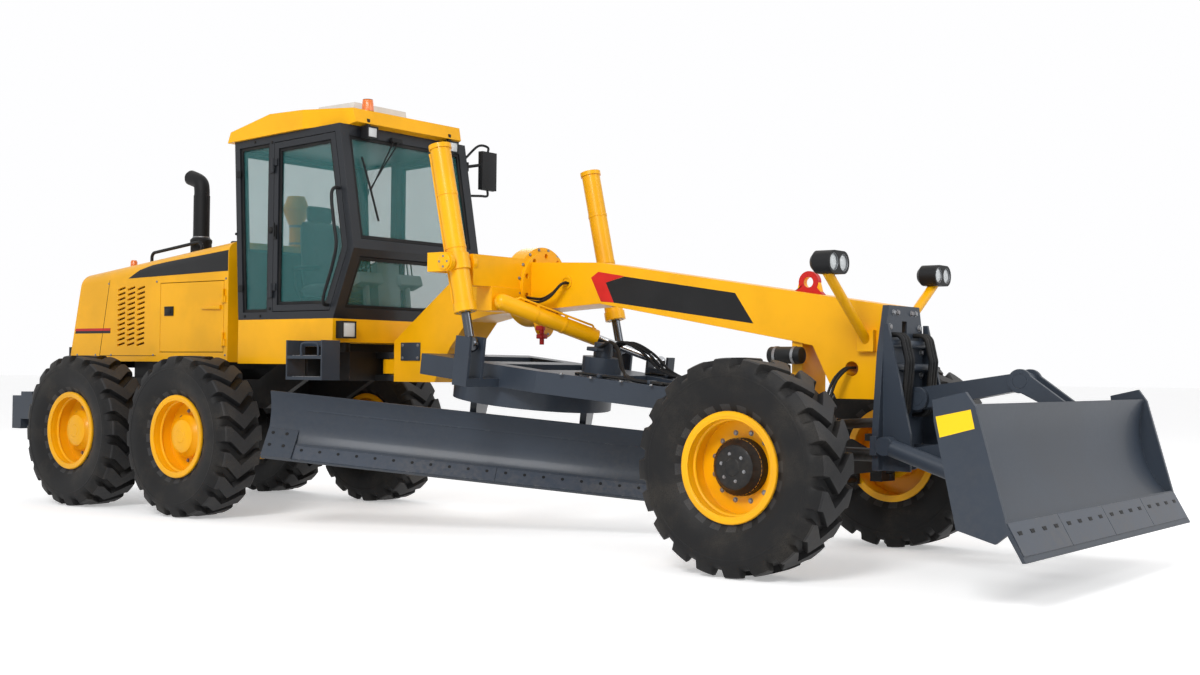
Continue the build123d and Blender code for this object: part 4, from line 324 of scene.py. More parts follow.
@dataclass(frozen=True)
class Paint:
    """Machine paint with orange peel, worn edges and settled dust."""

    name: str
    tone: Tone
    under: Tone = Tone.STEEL
    roughness: float = 0.34
    wear: float = 0.35
    dust: float = 0.25
    coat: float = 0.10
    gloss: float = 0.26
    edge: float = 0.006
    plate: Profile = ()
    reach: float = 0.0

    def make(self) -> bpy.types.Material:
        """Build the material.

        Returns:
            The new material.
        """
        bench = Bench(bpy.data.materials.new(self.name))
        cloud = bench.noise(1.7, 5.0)
        fine = bench.noise(22.0, 6.0, 0.65)
        colour = bench.mix(cloud.step(0.35, 0.7), self.tone.value, scaled(self.tone.value, 0.86))
        worn = bench.edges(self.edge) * fine.step(0.5, 0.68) * self.wear
        colour = bench.mix(worn, colour, self.under.value)
        low = 1 - bench.axis("Z").step(0.1, 1.5)
        lying = bench.up().step(0.5, 1.0) * 0.55 + low * 0.7
        settled = lying * cloud.step(0.3, 0.75) * fine.step(0.3, 0.7) * self.dust
        colour = bench.mix(settled, colour, Tone.DUST.value)
        if self.plate:
            colour = bench.mix(bench.inside(self.plate, self.reach), colour, Tone.PLATE.value)
        rough = self.roughness + settled * 0.5 + fine * 0.08 + worn * 0.2
        peel = bench.noise(420.0, 2.0)
        normal = bench.bump(peel, 0.05, 0.002, bench.soft_edges(self.edge))
        bench.set(Base_Color=colour, Roughness=rough, Normal=normal, Coat_Weight=self.coat, Coat_Roughness=0.12,
                  Specular_IOR_Level=self.gloss)
        return bench.owner


@dataclass(frozen=True)
class Metal:
    """Bare or chromed metal with fine directional scratches."""

    name: str
    tone: Tone
    roughness: float = 0.35
    rust: float = 0.0
    scratch: Point = (4.0, 4.0, 60.0)

    def make(self) -> bpy.types.Material:
        """Build the material.

        Returns:
            The new material.
        """
        bench = Bench(bpy.data.materials.new(self.name))
        lines = bench.noise(30.0, 6.0, 0.6, self.scratch)
        cloud = bench.noise(6.0, 5.0)
        rusty = cloud.step(0.48, 0.68) * self.rust
        colour = bench.mix(lines.step(0.35, 0.7), self.tone.value, scaled(self.tone.value, 0.7))
        colour = bench.mix(rusty, colour, Tone.RUST.value)
        rough = self.roughness + lines * 0.16 + cloud * 0.1 * self.rust
        normal = bench.bump(lines, 0.08, 0.002, bench.soft_edges(0.003))
        bench.set(Base_Color=colour, Roughness=rough, Metallic=1 - rusty, Normal=normal)
        return bench.owner


@dataclass(frozen=True)
class Rubber:
    """Tyre or hose rubber with patches of settled dust."""

    name: str
    tone: Tone = Tone.RUBBER
    dust: float = 0.4
    grain: float = 160.0
    gloss: float = 0.24

    def make(self) -> bpy.types.Material:
        """Build the material.

        Returns:
            The new material.
        """
        bench = Bench(bpy.data.materials.new(self.name))
        cloud = bench.noise(3.2, 6.0, 0.62)
        fine = bench.noise(self.grain, 3.0)
        colour = bench.mix(fine.step(0.35, 0.7) * 0.6, self.tone.value, scaled(self.tone.value, 1.7))
        settled = cloud.step(0.42, 0.72) * fine.step(0.25, 0.6) * self.dust
        colour = bench.mix(settled, colour, Tone.DUST.value)
        normal = bench.bump(fine, 0.15, 0.002, bench.soft_edges(0.008))
        bench.set(Base_Color=colour, Roughness=0.48 + fine * 0.22, Normal=normal, Specular_IOR_Level=self.gloss)
        return bench.owner


@dataclass(frozen=True)
class Plastic:
    """Moulded plastic with a fine leathery grain."""

    name: str
    tone: Tone
    roughness: float = 0.5
    grain: float = 300.0
    dust: float = 0.15
    gloss: float = 0.28

    def make(self) -> bpy.types.Material:
        """Build the material.

        Returns:
            The new material.
        """
        bench = Bench(bpy.data.materials.new(self.name))
        cells = bench.node("ShaderNodeTexVoronoi", inputs={"Vector": bench.place(), "Scale": self.grain})
        cloud = bench.noise(3.0, 5.0)
        pale = tuple(min(1.0, 1.35 * c + 0.004) for c in self.tone.value[:3]) + (1.0,)
        colour = bench.mix(cloud.step(0.4, 0.7) * 0.6, self.tone.value, pale)
        settled = bench.up().step(0.4, 1.0) * cloud.step(0.35, 0.7) * self.dust
        colour = bench.mix(settled, colour, Tone.DUST.value)
        normal = bench.bump(cells, 0.08, 0.001, bench.soft_edges(0.003))
        bench.set(Base_Color=colour, Roughness=self.roughness + cloud * 0.12, Normal=normal,
                  Specular_IOR_Level=self.gloss)
        return bench.owner


@dataclass(frozen=True)
class Glazing:
    """Tinted pane with faint smears."""

    name: str
    tone: Tone = Tone.GLASS
    clear: float = 0.26
    gloss: float = 0.6

    def make(self) -> bpy.types.Material:
        """Build the material.

        Returns:
            The new material.
        """
        bench = Bench(bpy.data.materials.new(self.name))
        smear = bench.noise(5.0, 6.0, 0.6, (1.0, 1.0, 0.35))
        film = smear.step(0.5, 0.8)
        colour = bench.mix(film * 0.12, self.tone.value, Tone.DUST.value)
        bench.set(Base_Color=colour, Roughness=0.03 + film * 0.14, Alpha=self.clear + film * 0.05,
                  Specular_IOR_Level=self.gloss)
        return bench.owner


@dataclass(frozen=True)
class Lens:
    """Lamp lens with moulded flutes."""

    name: str
    tone: Tone
    flutes: float = 90.0
    glow: float = 0.0

    def make(self) -> bpy.types.Material:
        """Build the material.

        Returns:
            The new material.
        """
        bench = Bench(bpy.data.materials.new(self.name))
        wave = bench.node("ShaderNodeTexWave", {"wave_type": "BANDS", "bands_direction": "Y"},
                          {"Vector": bench.place(), "Scale": self.flutes, "Distortion": 0.0})
        cross = bench.node("ShaderNodeTexWave", {"wave_type": "BANDS", "bands_direction": "Z"},
                           {"Vector": bench.place(), "Scale": self.flutes * 0.5, "Distortion": 0.0})
        ribs = wave * 0.6 + cross * 0.4
        colour = bench.mix(ribs, scaled(self.tone.value, 0.6), self.tone.value)
        bench.set(Base_Color=colour, Roughness=0.08 + ribs * 0.08, Normal=bench.bump(ribs, 0.35, 0.002),
                  Coat_Weight=0.6)
        if self.glow:
            bench.set(Emission_Color=colour, Emission_Strength=self.glow)
        return bench.owner


@dataclass(frozen=True)
class Cloth:
    """Woven seat cloth."""

    name: str
    tone: Tone = Tone.CLOTH
    threads: float = 260.0

    def make(self) -> bpy.types.Material:
        """Build the material.

        Returns:
            The new material.
        """
        bench = Bench(bpy.data.materials.new(self.name))
        warp = bench.node("ShaderNodeTexWave", {"bands_direction": "Y"},
                          {"Vector": bench.place(), "Scale": self.threads, "Distortion": 0.6})
        weft = bench.node("ShaderNodeTexWave", {"bands_direction": "X"},
                          {"Vector": bench.place(), "Scale": self.threads, "Distortion": 0.6})
        weave = warp.most(weft)
        faded = bench.noise(7.0, 4.0)
        colour = bench.mix(weave * 0.5 + faded * 0.2, self.tone.value, scaled(self.tone.value, 2.1))
        bench.set(Base_Color=colour, Roughness=0.92, Normal=bench.bump(weave, 0.5, 0.002), Sheen_Weight=0.3)
        return bench.owner


class Finish(Enum):
    """Every finish on the machine."""

    YELLOW = Paint("yellow_paint", Tone.YELLOW, dust=0.06, wear=0.15)
    RIM = Paint("rim_paint", Tone.YELLOW, dust=0.10, wear=0.2)
    SLATE = Paint("slate_paint", Tone.SLATE, roughness=0.40, dust=0.12, wear=0.3)
    DOZER = Paint("dozer_paint", Tone.SLATE, roughness=0.40, dust=0.12, wear=0.3, reach=1.44,
                  plate=((7.661, 1.029), (7.861, 1.072), (7.884, 0.971), (7.685, 0.917)))
    CAB = Paint("cab_paint", Tone.CHARCOAL, roughness=0.38, dust=0.04, wear=0.1)
    CHASSIS = Paint("chassis_paint", Tone.BLACK, roughness=0.5, dust=0.3, coat=0.1)
    RED = Paint("red_paint", Tone.RED, dust=0.1, wear=0.2)
    TYRE = Rubber("tyre_rubber", dust=0.07)
    # Lug tops in lighter rubber: a painted highlight.
    LUG_TOP_HIGHLIGHT = Rubber("tread_rubber_painted_highlight", Tone.LUG_TOP_HIGHLIGHT, dust=0.10)
    HOSE = Rubber("hose_rubber", Tone.BLACK, dust=0.12, grain=500.0)
    SEAL = Rubber("seal_rubber", Tone.BLACK, dust=0.05, grain=400.0)
    CHROME = Metal("chromed_rod", Tone.CHROME, roughness=0.08)
    # Chrome with a darkened tone: a painted dark reflection.
    ROD_PAINTED_REFLECTION = Metal("rod_painted_dark_reflection", Tone.ROD_PAINTED_REFLECTION, roughness=0.12)
    STEEL = Metal("bare_steel", Tone.STEEL, roughness=0.38, rust=0.35)
    BLACK = Plastic("black_plastic", Tone.BLACK)
    STACK = Paint("stack_paint", Tone.BLACK, under=Tone.RUST, roughness=0.55, wear=0.5, coat=0.0)
    WHITE = Plastic("white_plastic", Tone.WHITE, roughness=0.4, dust=0.3)
    AMBER = Lens("amber_lens", Tone.AMBER, glow=0.15)
    CLEAR = Lens("clear_lens", Tone.LENS)
    TAIL = Lens("tail_lens", Tone.RED)
    GLASS = Glazing("tinted_glass")
    MIRROR = Metal("mirror_glass", Tone.CHROME, roughness=0.02, scratch=(1.0, 1.0, 1.0))
    CLOTH = Cloth("seat_cloth")
    TRIM = Plastic("cab_trim", Tone.TRIM, roughness=0.55)
    WORN = Paint("worn_edge_paint", Tone.WORN, roughness=0.36, wear=0.8, dust=0.25)
    DECAL = Plastic("decal_film", Tone.BLACK, roughness=0.32, grain=700.0, dust=0.05)
    FLASH = Plastic("red_film", Tone.RED, roughness=0.32, grain=700.0, dust=0.05)


class Palette:
    """Builds each finish once and gives it to pieces."""

    def __init__(self) -> None:
        """Start with no materials made."""
        self.made: dict[Finish, bpy.types.Material] = {}

    def __getitem__(self, finish: Finish) -> bpy.types.Material:
        """Give a finish's material, made on first use.

        Args:
            finish: The finish wanted.

        Returns:
            Its material.
        """
        if finish not in self.made:
            self.made[finish] = finish.value.make()
        return self.made[finish]

    def coat(self, nodes: Iterable[str], finish: Finish) -> None:
        """Give CAD nodes a finish.

        Args:
            nodes: Names of CAD nodes.
            finish: Finish for all their faces.
        """
        for name in nodes:
            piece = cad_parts[name]
            piece.data.materials.clear()
            piece.data.materials.append(self[finish])


PALETTE = Palette()


class Shop:
    """Collects small solids into one mesh and sets it on a body."""

    washer = 1.3  # radius of a bolt's washer, as a share of its head's
    washer_rise = 0.18
    head_rise = 0.9

    def __init__(self, place: Matrix | None = None) -> None:
        """Start with an empty mesh, to be set in a place of its own."""
        self.mesh = bmesh.new()
        self.place = place

    def _rounded(self, edges: Iterable[bmesh.types.BMEdge], width: float) -> None:
        """Bevel edges of the newest solid.

        Args:
            edges: The edges.
            width: Width of the bevel.
        """
        if width > 0:
            bmesh.ops.bevel(self.mesh, geom=list(edges), offset=width, segments=2, affect="EDGES", profile=0.5,
                            clamp_overlap=True)

    def _join(self, first: Sequence[bmesh.types.BMVert], second: Sequence[bmesh.types.BMVert]) -> None:
        """Span quads between two closed loops.

        Args:
            first: Corners of one loop.
            second: As many corners of the other.
        """
        for k in range(len(first)):
            n = (k + 1) % len(first)
            self.mesh.faces.new((first[k], first[n], second[n], second[k]))

    def box(self, low: Point, high: Point, bevel: float = 0.003, turn: Matrix | None = None) -> None:
        """Add a rounded box between two corners.

        Args:
            low: Lowest corner.
            high: Highest corner.
            bevel: Width of its rounded edges.
            turn: Rotation about its centre.
        """
        low, high = Vector(low), Vector(high)
        size = high - low
        place = Matrix.Translation((low + high) / 2)
        if turn is not None:
            place = place @ turn.to_4x4()
        made = bmesh.ops.create_cube(self.mesh, size=1.0, matrix=place @ Matrix.Diagonal((*size, 1.0)))
        self._rounded({e for v in made["verts"] for e in v.link_edges}, bevel)

    def drum(self, start: Point, end: Point, radius: float, sides: int = 24, bevel: float = 0.002,
             end_radius: float | None = None) -> None:
        """Add a round drum or cone between two points.

        Args:
            start: Centre of one end.
            end: Centre of the other.
            radius: Radius at the start.
            sides: Number of sides.
            bevel: Width of its rounded rims.
            end_radius: Radius at the end, if it differs.
        """
        start, end = Vector(start), Vector(end)
        run = end - start
        turn = run.to_track_quat("Z", "Y").to_matrix().to_4x4()
        made = bmesh.ops.create_cone(
            self.mesh, cap_ends=True, segments=sides, radius1=radius,
            radius2=radius if end_radius is None else end_radius, depth=run.length,
            matrix=Matrix.Translation((start + end) / 2) @ turn)
        caps = {f for v in made["verts"] for f in v.link_faces if len(f.verts) == sides}
        self._rounded({e for f in caps for e in f.edges}, bevel)

    def bolt(self, foot: Point, axis: Point, size: float) -> None:
        """Add a hex bolt head with its washer.

        Args:
            foot: Point on the surface.
            axis: Direction out of the surface.
            size: Radius across the head's corners.
        """
        foot, axis = Vector(foot), Vector(axis).normalized()
        self.drum(foot - axis * 0.002, foot + axis * size * self.washer_rise, size * self.washer, 16, 0.0)
        self.drum(foot, foot + axis * size * self.head_rise, size, 6, size * 0.1)

    def pipe(self, route: Sequence[Point], radius: float, sides: int = 10, rings: int = 12) -> None:
        """Add a tube along a smooth curve through its control points.

        Args:
            route: Control points.
            radius: Tube radius.
            sides: Sides around the tube.
            rings: Rings for each control point.
        """
        spots = Spline(route).spots(rings)
        tangent = (spots[1] - spots[0]).normalized()
        side = tangent.orthogonal().normalized()
        loops = []
        for index, spot in enumerate(spots):
            ahead = spots[min(index + 1, len(spots) - 1)] - spots[max(index - 1, 0)]
            turned = tangent.rotation_difference(ahead.normalized())
            tangent = ahead.normalized()
            side = turned @ side
            other = tangent.cross(side)
            loops.append([self.mesh.verts.new(spot + radius * (math.cos(a) * side + math.sin(a) * other))
                          for a in (2 * math.pi * k / sides for k in range(sides))])
        for first, second in zip(loops, loops[1:]):
            self._join(first, second)
        self.mesh.faces.new(list(reversed(loops[0])))
        self.mesh.faces.new(loops[-1])

    def slab(self, outline: Sequence[Point], depth: Point, bevel: float = 0.002) -> None:
        """Add a flat plate from an outline and a thickness vector.

        Args:
            outline: Corner points of one face.
            depth: Vector from that face to the other.
            bevel: Width of its rounded edges.
        """
        depth = Vector(depth)
        first = [self.mesh.verts.new(Vector(p)) for p in outline]
        second = [self.mesh.verts.new(Vector(p) + depth) for p in outline]
        self.mesh.faces.new(list(reversed(first)))
        self.mesh.faces.new(second)
        self._join(first, second)
        self._rounded({e for v in first + second for e in v.link_edges}, bevel)

    def flank(self, outline: Profile, side: float, sign: float, depth: float, bevel: float = 0.0) -> None:
        """Add a plate that lies on one flank of the machine.

        Args:
            outline: Stations and heights of its corners.
            side: Distance of its inner face from the middle.
            sign: Side of the machine, 1 for left and -1 for right.
            depth: Thickness outwards.
            bevel: Width of its rounded edges.
        """
        self.slab([at(x, sign * side, z) for x, z in outline], (0.0, sign * depth, 0.0), bevel)

    def ring(self, centre: Point, axis: Point, inner: float, outer: float, depth: float, sides: int = 48) -> None:
        """Add a flat ring.

        Args:
            centre: Centre of its back face.
            axis: Direction of its depth.
            inner: Inner radius.
            outer: Outer radius.
            depth: Thickness.
            sides: Number of sides.
        """
        axis = Vector(axis).normalized()
        side = axis.orthogonal().normalized()
        other = axis.cross(side)
        profile = ((inner, 0.0), (outer, 0.0), (outer, depth), (inner, depth))
        loops = []
        for k in range(sides):
            angle = 2 * math.pi * k / sides
            out = math.cos(angle) * side + math.sin(angle) * other
            loops.append([self.mesh.verts.new(Vector(centre) + r * out + d * axis) for r, d in profile])
        for first, second in zip(loops, loops[1:] + loops[:1]):
            self._join(first, second)

    def plate(self, outline: Sequence[Point], hole: Sequence[Point], depth: Point) -> None:
        """Add a flat plate with an opening.

        Args:
            outline: Outer corners.
            hole: As many corners of the opening.
            depth: Vector from one face to the other.
        """
        loops = [[self.mesh.verts.new(Vector(p) + shift) for p in loop]
                 for loop in (outline, hole) for shift in (Vector(), Vector(depth))]
        outer, outer_far, inner, inner_far = loops
        for first, second in ((outer, inner), (inner, inner_far), (inner_far, outer_far), (outer_far, outer)):
            self._join(first, second)

    def border(self, corners: Sequence[Point], width: float, depth: Point) -> None:
        """Add a frame of even width inside a flat outline.

        Args:
            corners: Outer corners.
            width: Width of the frame.
            depth: Vector from one face to the other.
        """
        self.plate(corners, inset(corners, width), depth)

    def lathe(self, centre: Point, axis: Point, profile: Profile, sides: int = 40) -> None:
        """Add a turned body.

        Args:
            centre: Origin of the profile.
            axis: Turning axis.
            profile: Points of radius and distance along the axis.
            sides: Number of sides.
        """
        axis = Vector(axis).normalized()
        side = axis.orthogonal().normalized()
        other = axis.cross(side)
        turns = [2 * math.pi * k / sides for k in range(sides)]
        loops = []
        for radius, along in profile:
            middle = Vector(centre) + along * axis
            ways = turns if radius > 0 else turns[:1]
            loops.append([self.mesh.verts.new(middle + radius * (math.cos(a) * side + math.sin(a) * other))
                          for a in ways])
        for first, second in zip(loops, loops[1:]):
            for k in range(sides):
                n = (k + 1) % sides
                corners = (first[k % len(first)], first[n % len(first)], second[n % len(second)],
                           second[k % len(second)])
                self.mesh.faces.new(list(dict.fromkeys(corners)))

    def patch(self, rows: Sequence[Sequence[Point]]) -> None:
        """Add a thin skin over a grid of points.

        Args:
            rows: Rows of points, all of one length.
        """
        grid = [[self.mesh.verts.new(Vector(p)) for p in row] for row in rows]
        for first, second in zip(grid, grid[1:]):
            for k in range(len(first) - 1):
                self.mesh.faces.new((first[k], first[k + 1], second[k + 1], second[k]))

    def done(self, name: str, finish: Finish, body: str, smooth: float = 32.0) -> bpy.types.Object:
        """Turn the collected solids into a piece that rides on a body.

        Args:
            name: Piece name.
            finish: Its finish.
            body: CAD body it moves with.
            smooth: Angle in degrees above which an edge stays sharp.

        Returns:
            The new piece.
        """
        bmesh.ops.recalc_face_normals(self.mesh, faces=self.mesh.faces)
        if self.place is not None:
            self.mesh.transform(self.place)
        data = bpy.data.meshes.new(name)
        self.mesh.to_mesh(data)
        self.mesh.free()
        data.shade_smooth()
        data.set_sharp_from_angle(angle=math.radians(smooth))
        data.materials.append(PALETTE[finish])
        piece = bpy.data.objects.new(name, data)
        bpy.context.scene.collection.objects.link(piece)
        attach(piece, body)
        LOG.info("piece %s on %s with %d faces", name, body, len(data.polygons))
        return piece


class Spline:
    """Smooth line through control points."""

    def __init__(self, route: Sequence[Point]) -> None:
        """Keep the control points."""
        self.route = [Vector(p) for p in route]

    def spots(self, rings: int) -> list[Vector]:
        """Points along a smooth curve that passes through the control points.

        Args:
            rings: Points for each stretch between control points.

        Returns:
            The points in order.
        """
        line = self.route
        if len(line) == 2:
            return [line[0].lerp(line[1], k / rings) for k in range(rings + 1)]
        padded = [2 * line[0] - line[1], *line, 2 * line[-1] - line[-2]]
        spots = []
        for a, b, c, d in zip(padded, padded[1:], padded[2:], padded[3:]):
            for k in range(rings):
                t = k / rings
                spots.append(0.5 * (2 * b + (c - a) * t + (2 * a - 5 * b + 4 * c - d) * t ** 2
                                    + (3 * b - a - 3 * c + d) * t ** 3))
        return [*spots, line[-1]]


def route(sign: float, *points: Point) -> list[Vector]:
    """Points of one side, from stations, distances from the middle and heights."""
    return [at(x, sign * y, z) for x, y, z in points]


def pane(edge: Sequence[Vector]) -> list[Vector]:
    """Corners of a pane across the machine, from those of its left edge."""
    return [*edge, *(Vector((p.x, -p.y, p.z)) for p in reversed(edge))]


def about(centre: Point, axis: Point, radius: float, count: int, start: float = 0.0) -> list[Vector]:
    """Points spaced evenly on a circle.

    Args:
        centre: Centre of the circle.
        axis: Its axis.
        radius: Its radius.
        count: Number of points.
        start: Angle of the first.

    Returns:
        The points in order.
    """
    axis = Vector(axis).normalized()
    side = axis.orthogonal().normalized()
    other = axis.cross(side)
    turns = (start + 2 * math.pi * k / count for k in range(count))
    return [Vector(centre) + radius * (math.cos(a) * side + math.sin(a) * other) for a in turns]


@dataclass
class Wheels:
    """Lugged tyres, wheel nuts, hub covers and rolled flanges."""

    stations: dict[str, float] = field(default_factory=lambda: {"front": 6.219, "mid": 0.769, "rear": -0.769})
    side: float = 1.08
    height: float = 0.675
    lugs: int = 20
    lean: float = 0.55
    lean_width: float = 0.14
    # Lug-top faces nearer the middle than this get the lighter tread rubber, a painted highlight.
    top: float = 0.20
    nut_circle: float = 0.215
    crease: float = 24.0
    columns: Profile = ((0.02, 0.0), (0.12, 0.0), (0.22, 0.0), (0.31, 0.0), (0.37, 1.0), (0.55, 1.0), (0.75, 1.0),
                        (0.95, 1.0))
    tread: tuple[tuple[float, float, float, float], ...] = (
        (0.633, 0.0, 0.675, 0.0), (0.633, 0.045, 0.6745, 0.045), (0.632, 0.09, 0.6735, 0.09),
        (0.631, 0.13, 0.6725, 0.132), (0.628, 0.165, 0.6715, 0.172), (0.618, 0.192, 0.664, 0.186),
        (0.604, 0.208, 0.640, 0.200), (0.592, 0.2165, 0.610, 0.2135), (0.580, 0.2205, 0.582, 0.2215))
    wall: Profile = (
        (0.570, 0.2205), (0.566, 0.2225), (0.560, 0.2225), (0.556, 0.2205), (0.53, 0.22), (0.50, 0.219),
        (0.46, 0.213), (0.42, 0.20), (0.39, 0.185), (0.37, 0.171), (0.358, 0.162), (0.350, 0.160), (0.322, 0.158))
    flange: Profile = ((0.297, 0.150), (0.303, 0.174), (0.312, 0.1815), (0.330, 0.184), (0.342, 0.1815),
                       (0.347, 0.172), (0.345, 0.160))
    bead: Profile = ((0.300, 0.086), (0.289, 0.091), (0.285, 0.100), (0.289, 0.109), (0.300, 0.114))
    hub: Profile = ((0.180, 0.003), (0.180, 0.064), (0.170, 0.076), (0.144, 0.1005), (0.138, 0.115),
                    (0.112, 0.1285), (0.055, 0.1295), (0.050, 0.134), (0.0, 0.135))

    def tyre(self, label: str, centre: Vector) -> None:
        """Build one tyre with chevron lugs, their tops in a lighter rubber as a painted highlight.

        Args:
            label: Row and side of the wheel.
            centre: Wheel centre.
        """
        half = [*self.tread, *((r, y, r, y) for r, y in self.wall)]
        rows = [(a, -b, c, -d) for a, b, c, d in reversed(half[1:])] + half
        pitch = 2 * math.pi / self.lugs
        shop = Shop()
        loops, rises = [], []
        for lug in range(self.lugs):
            for share, rise in self.columns:
                loop = []
                for low, low_side, high, high_side in rows:
                    radius, side = low + (high - low) * rise, low_side + (high_side - low_side) * rise
                    turn = pitch * (lug + share + self.lean * min(1.0, abs(side) / self.lean_width))
                    spot = Vector((radius * math.sin(turn), side, -radius * math.cos(turn)))
                    loop.append(shop.mesh.verts.new(centre + spot))
                loops.append(loop)
                rises.append(rise)
        for index, first in enumerate(loops):
            after = (index + 1) % len(loops)
            second, raised = loops[after], rises[index] * rises[after]
            for j in range(len(rows)):
                n = (j + 1) % len(rows)
                face = shop.mesh.faces.new((first[j], second[j], second[n], first[n]))
                # Raised lug tops near the middle take the second, lighter material: a painted highlight.
                face.material_index = int(raised and max(abs(rows[j][1]), abs(rows[n][1])) < self.top)
        piece = shop.done(f"{label}_lugged_tyre", Finish.TYRE, f"{label}_wheel", self.crease)
        # Second material: the lighter lug-top rubber, a painted highlight.
        piece.data.materials.append(PALETTE[Finish.LUG_TOP_HIGHLIGHT])
        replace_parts(piece, f"{label}_tyre")

    def fittings(self, label: str, centre: Vector, out: Vector, steered: bool) -> None:
        """Build the nuts, the hub cover, the flange and the valve of one wheel.

        Args:
            label: Row and side of the wheel.
            centre: Wheel centre.
            out: Direction out of the machine.
            steered: True for a front wheel.
        """
        body = f"{label}_wheel"
        cover, circle = (0.1275, 0.085) if steered else (0.1005, 0.125)
        nuts, rim, hub, stem = Shop(), Shop(), Shop(), Shop()
        for foot in about(centre + 0.002 * out, out, self.nut_circle, 12):
            nuts.bolt(foot, out, 0.013)
        for foot in about(centre + cover * out, out, circle, 6):
            nuts.bolt(foot, out, 0.009)
        nuts.done(f"{label}_wheel_nuts", Finish.STEEL, body)
        for profile in (self.flange, self.bead):
            rim.lathe(centre, out, profile, 64)
        rim.done(f"{label}_rolled_flange", Finish.RIM, body)
        hub.lathe(centre, out, self.hub)
        hub.done(f"{label}_hub_cover", Finish.CHASSIS if steered else Finish.RIM, body)
        root = centre + 0.004 * out + Vector((0.255, 0.0, 0.06))
        stem.drum(root, root + 0.045 * out, 0.006, 10)
        stem.drum(root + 0.03 * out, root + 0.05 * out, 0.008, 8)
        stem.done(f"{label}_valve_stem", Finish.SEAL, body)

    def build(self) -> None:
        """Build all six wheels."""
        for row, station in self.stations.items():
            for name, sign in SIDES:
                centre = at(station, sign * self.side, self.height)
                self.tyre(f"{row}_{name}", centre)
                self.fittings(f"{row}_{name}", centre, Vector((0.0, sign, 0.0)), row == "front")


@dataclass
class HoodTrim:
    """Bands, stripes, seams, latches, lamps and stack fittings of the engine hood."""

    side: float = 0.65
    fillet: float = 0.110
    tail: tuple[float, float] = (-1.53, 2.130)
    slope: float = 0.105
    upper: Profile = ((-0.795, 2.071), (-0.627, 2.145), (-0.446, 2.185), (-0.178, 2.212), (0.255, 2.246),
                      (0.655, 2.280))
    seams: tuple[Profile, ...] = (((-1.235, 1.353), (-1.088, 2.062)), ((-1.235, 1.353), (-0.36, 1.353)))
    screws: Profile = ((-1.60, 1.36), (-1.30, 1.36), (-1.05, 1.36), (-0.40, 1.36), (-0.36, 2.03), (-1.10, 2.03),
                       (0.63, 1.36), (0.63, 2.03))
    stack: tuple[float, float] = (-0.12, -0.35)
    cleaner: tuple[float, float] = (0.43, 0.30)
    filler: tuple[float, float] = (0.38, -0.34)

    def top(self, station: float) -> float:
        """Height of the hood's top at a station."""
        return self.tail[1] + (station - self.tail[0]) * self.slope

    def skin(self, station: float, height: float, sign: float) -> Vector:
        """Point just outside the rounded flank.

        Args:
            station: Where along the hood.
            height: Height of the point.
            sign: Side it lies on.

        Returns:
            The point.
        """
        start = self.top(station) - self.fillet
        over = min(max(0.0, height - start), self.fillet)
        drop = self.fillet - math.sqrt(self.fillet ** 2 - over ** 2)
        return at(station, sign * (self.side - drop + FILM), height)

    def band(self, name: str, sign: float, steps: int = 6, cells: int = 8) -> None:
        """Build the dark band along one flank.

        Args:
            name: Side of the machine.
            sign: Its sign.
            steps: Rows between two corners of the upper edge.
            cells: Cells over the band's height.
        """
        (start, base), (end, high) = self.upper[0], self.upper[-1]
        spots = []
        for (x0, z0), (x1, z1) in zip(self.upper, self.upper[1:]):
            for step in range(steps):
                x = x0 + (x1 - x0) * step / steps
                spots.append((x, base + (x - start) * 0.018, z0 + (z1 - z0) * step / steps))
        spots.append((end, 2.097, high))
        shop = Shop()
        shop.patch([[self.skin(x, low + (up - low) * j / cells, sign) for j in range(cells + 1)]
                    for x, low, up in spots])
        shop.done(f"hood_band_{name}", Finish.DECAL, REAR)

    def flank(self, name: str, sign: float) -> None:
        """Build the stripes, seams, screws, screen, latch and ledge of one flank.

        Args:
            name: Side of the machine.
            sign: Its sign.
        """
        for label, finish, low, high in (("red_stripe", Finish.FLASH, 1.588, 1.612),
                                         ("dark_stripe", Finish.DECAL, 1.564, 1.588)):
            stripe = Shop()
            stripe.flank(((-1.640, low), (-1.068, low), (-1.066, high), (-1.635, high)), self.side, sign, FILM)
            stripe.done(f"{label}_{name}", finish, REAR)
        seams, screws, screen, latch, ledge = Shop(), Shop(), Shop(), Shop(), Shop()
        for ends in self.seams:
            a, b = (at(x, sign * self.side, z) for x, z in ends)
            across = (b - a).cross(Vector((0.0, 1.0, 0.0))).normalized() * 0.0025
            seams.slab([a - across, b - across, b + across, a + across], (0.0, sign * FILM, 0.0), 0.0)
        seams.done(f"hood_seams_{name}", Finish.SEAL, REAR)
        for x, z in self.screws:
            screws.bolt(at(x, sign * self.side, z), (0, sign, 0), 0.008)
        screws.done(f"hood_screws_{name}", Finish.STEEL, REAR)
        near, far = sorted((sign * 0.592, sign * 0.602))
        screen.box(at(-1.0, near, 1.42), at(-0.48, far, 2.04))
        screen.done(f"louvre_screen_{name}", Finish.SEAL, REAR)
        raised = self.side + 0.010
        latch.flank(rectangle(-0.235, 1.715, -0.105, 1.80), self.side, sign, 0.010, 0.004)
        latch.flank(rectangle(-0.205, 1.735, -0.135, 1.772), raised, sign, 0.006, 0.003)
        for x in (-0.222, -0.118):
            latch.bolt(at(x, sign * raised, 1.788), (0, sign, 0), 0.006)
        latch.done(f"engine_latch_{name}", Finish.BLACK, f"engine_door_{name}")
        ledge.flank(((0.300, 1.768), (0.430, 1.798), (0.570, 1.800), (0.570, 1.760)), self.side, sign, 0.022, 0.006)
        ledge.done(f"door_ledge_{name}", Finish.YELLOW, f"engine_door_{name}")

    def screens(self) -> None:
        """Build the radiator's screen and the shield under the cab."""
        screen, shield = Shop(), Shop()
        screen.box(at(-1.475, -0.46, 1.46), at(-1.462, 0.46, 2.0))
        screen.done("radiator_screen", Finish.SEAL, REAR)
        shield.box(at(1.58, -0.56, 1.18), at(1.60, 0.56, 1.505), 0.004)
        shield.done("under_cab_shield", Finish.CHASSIS, REAR)

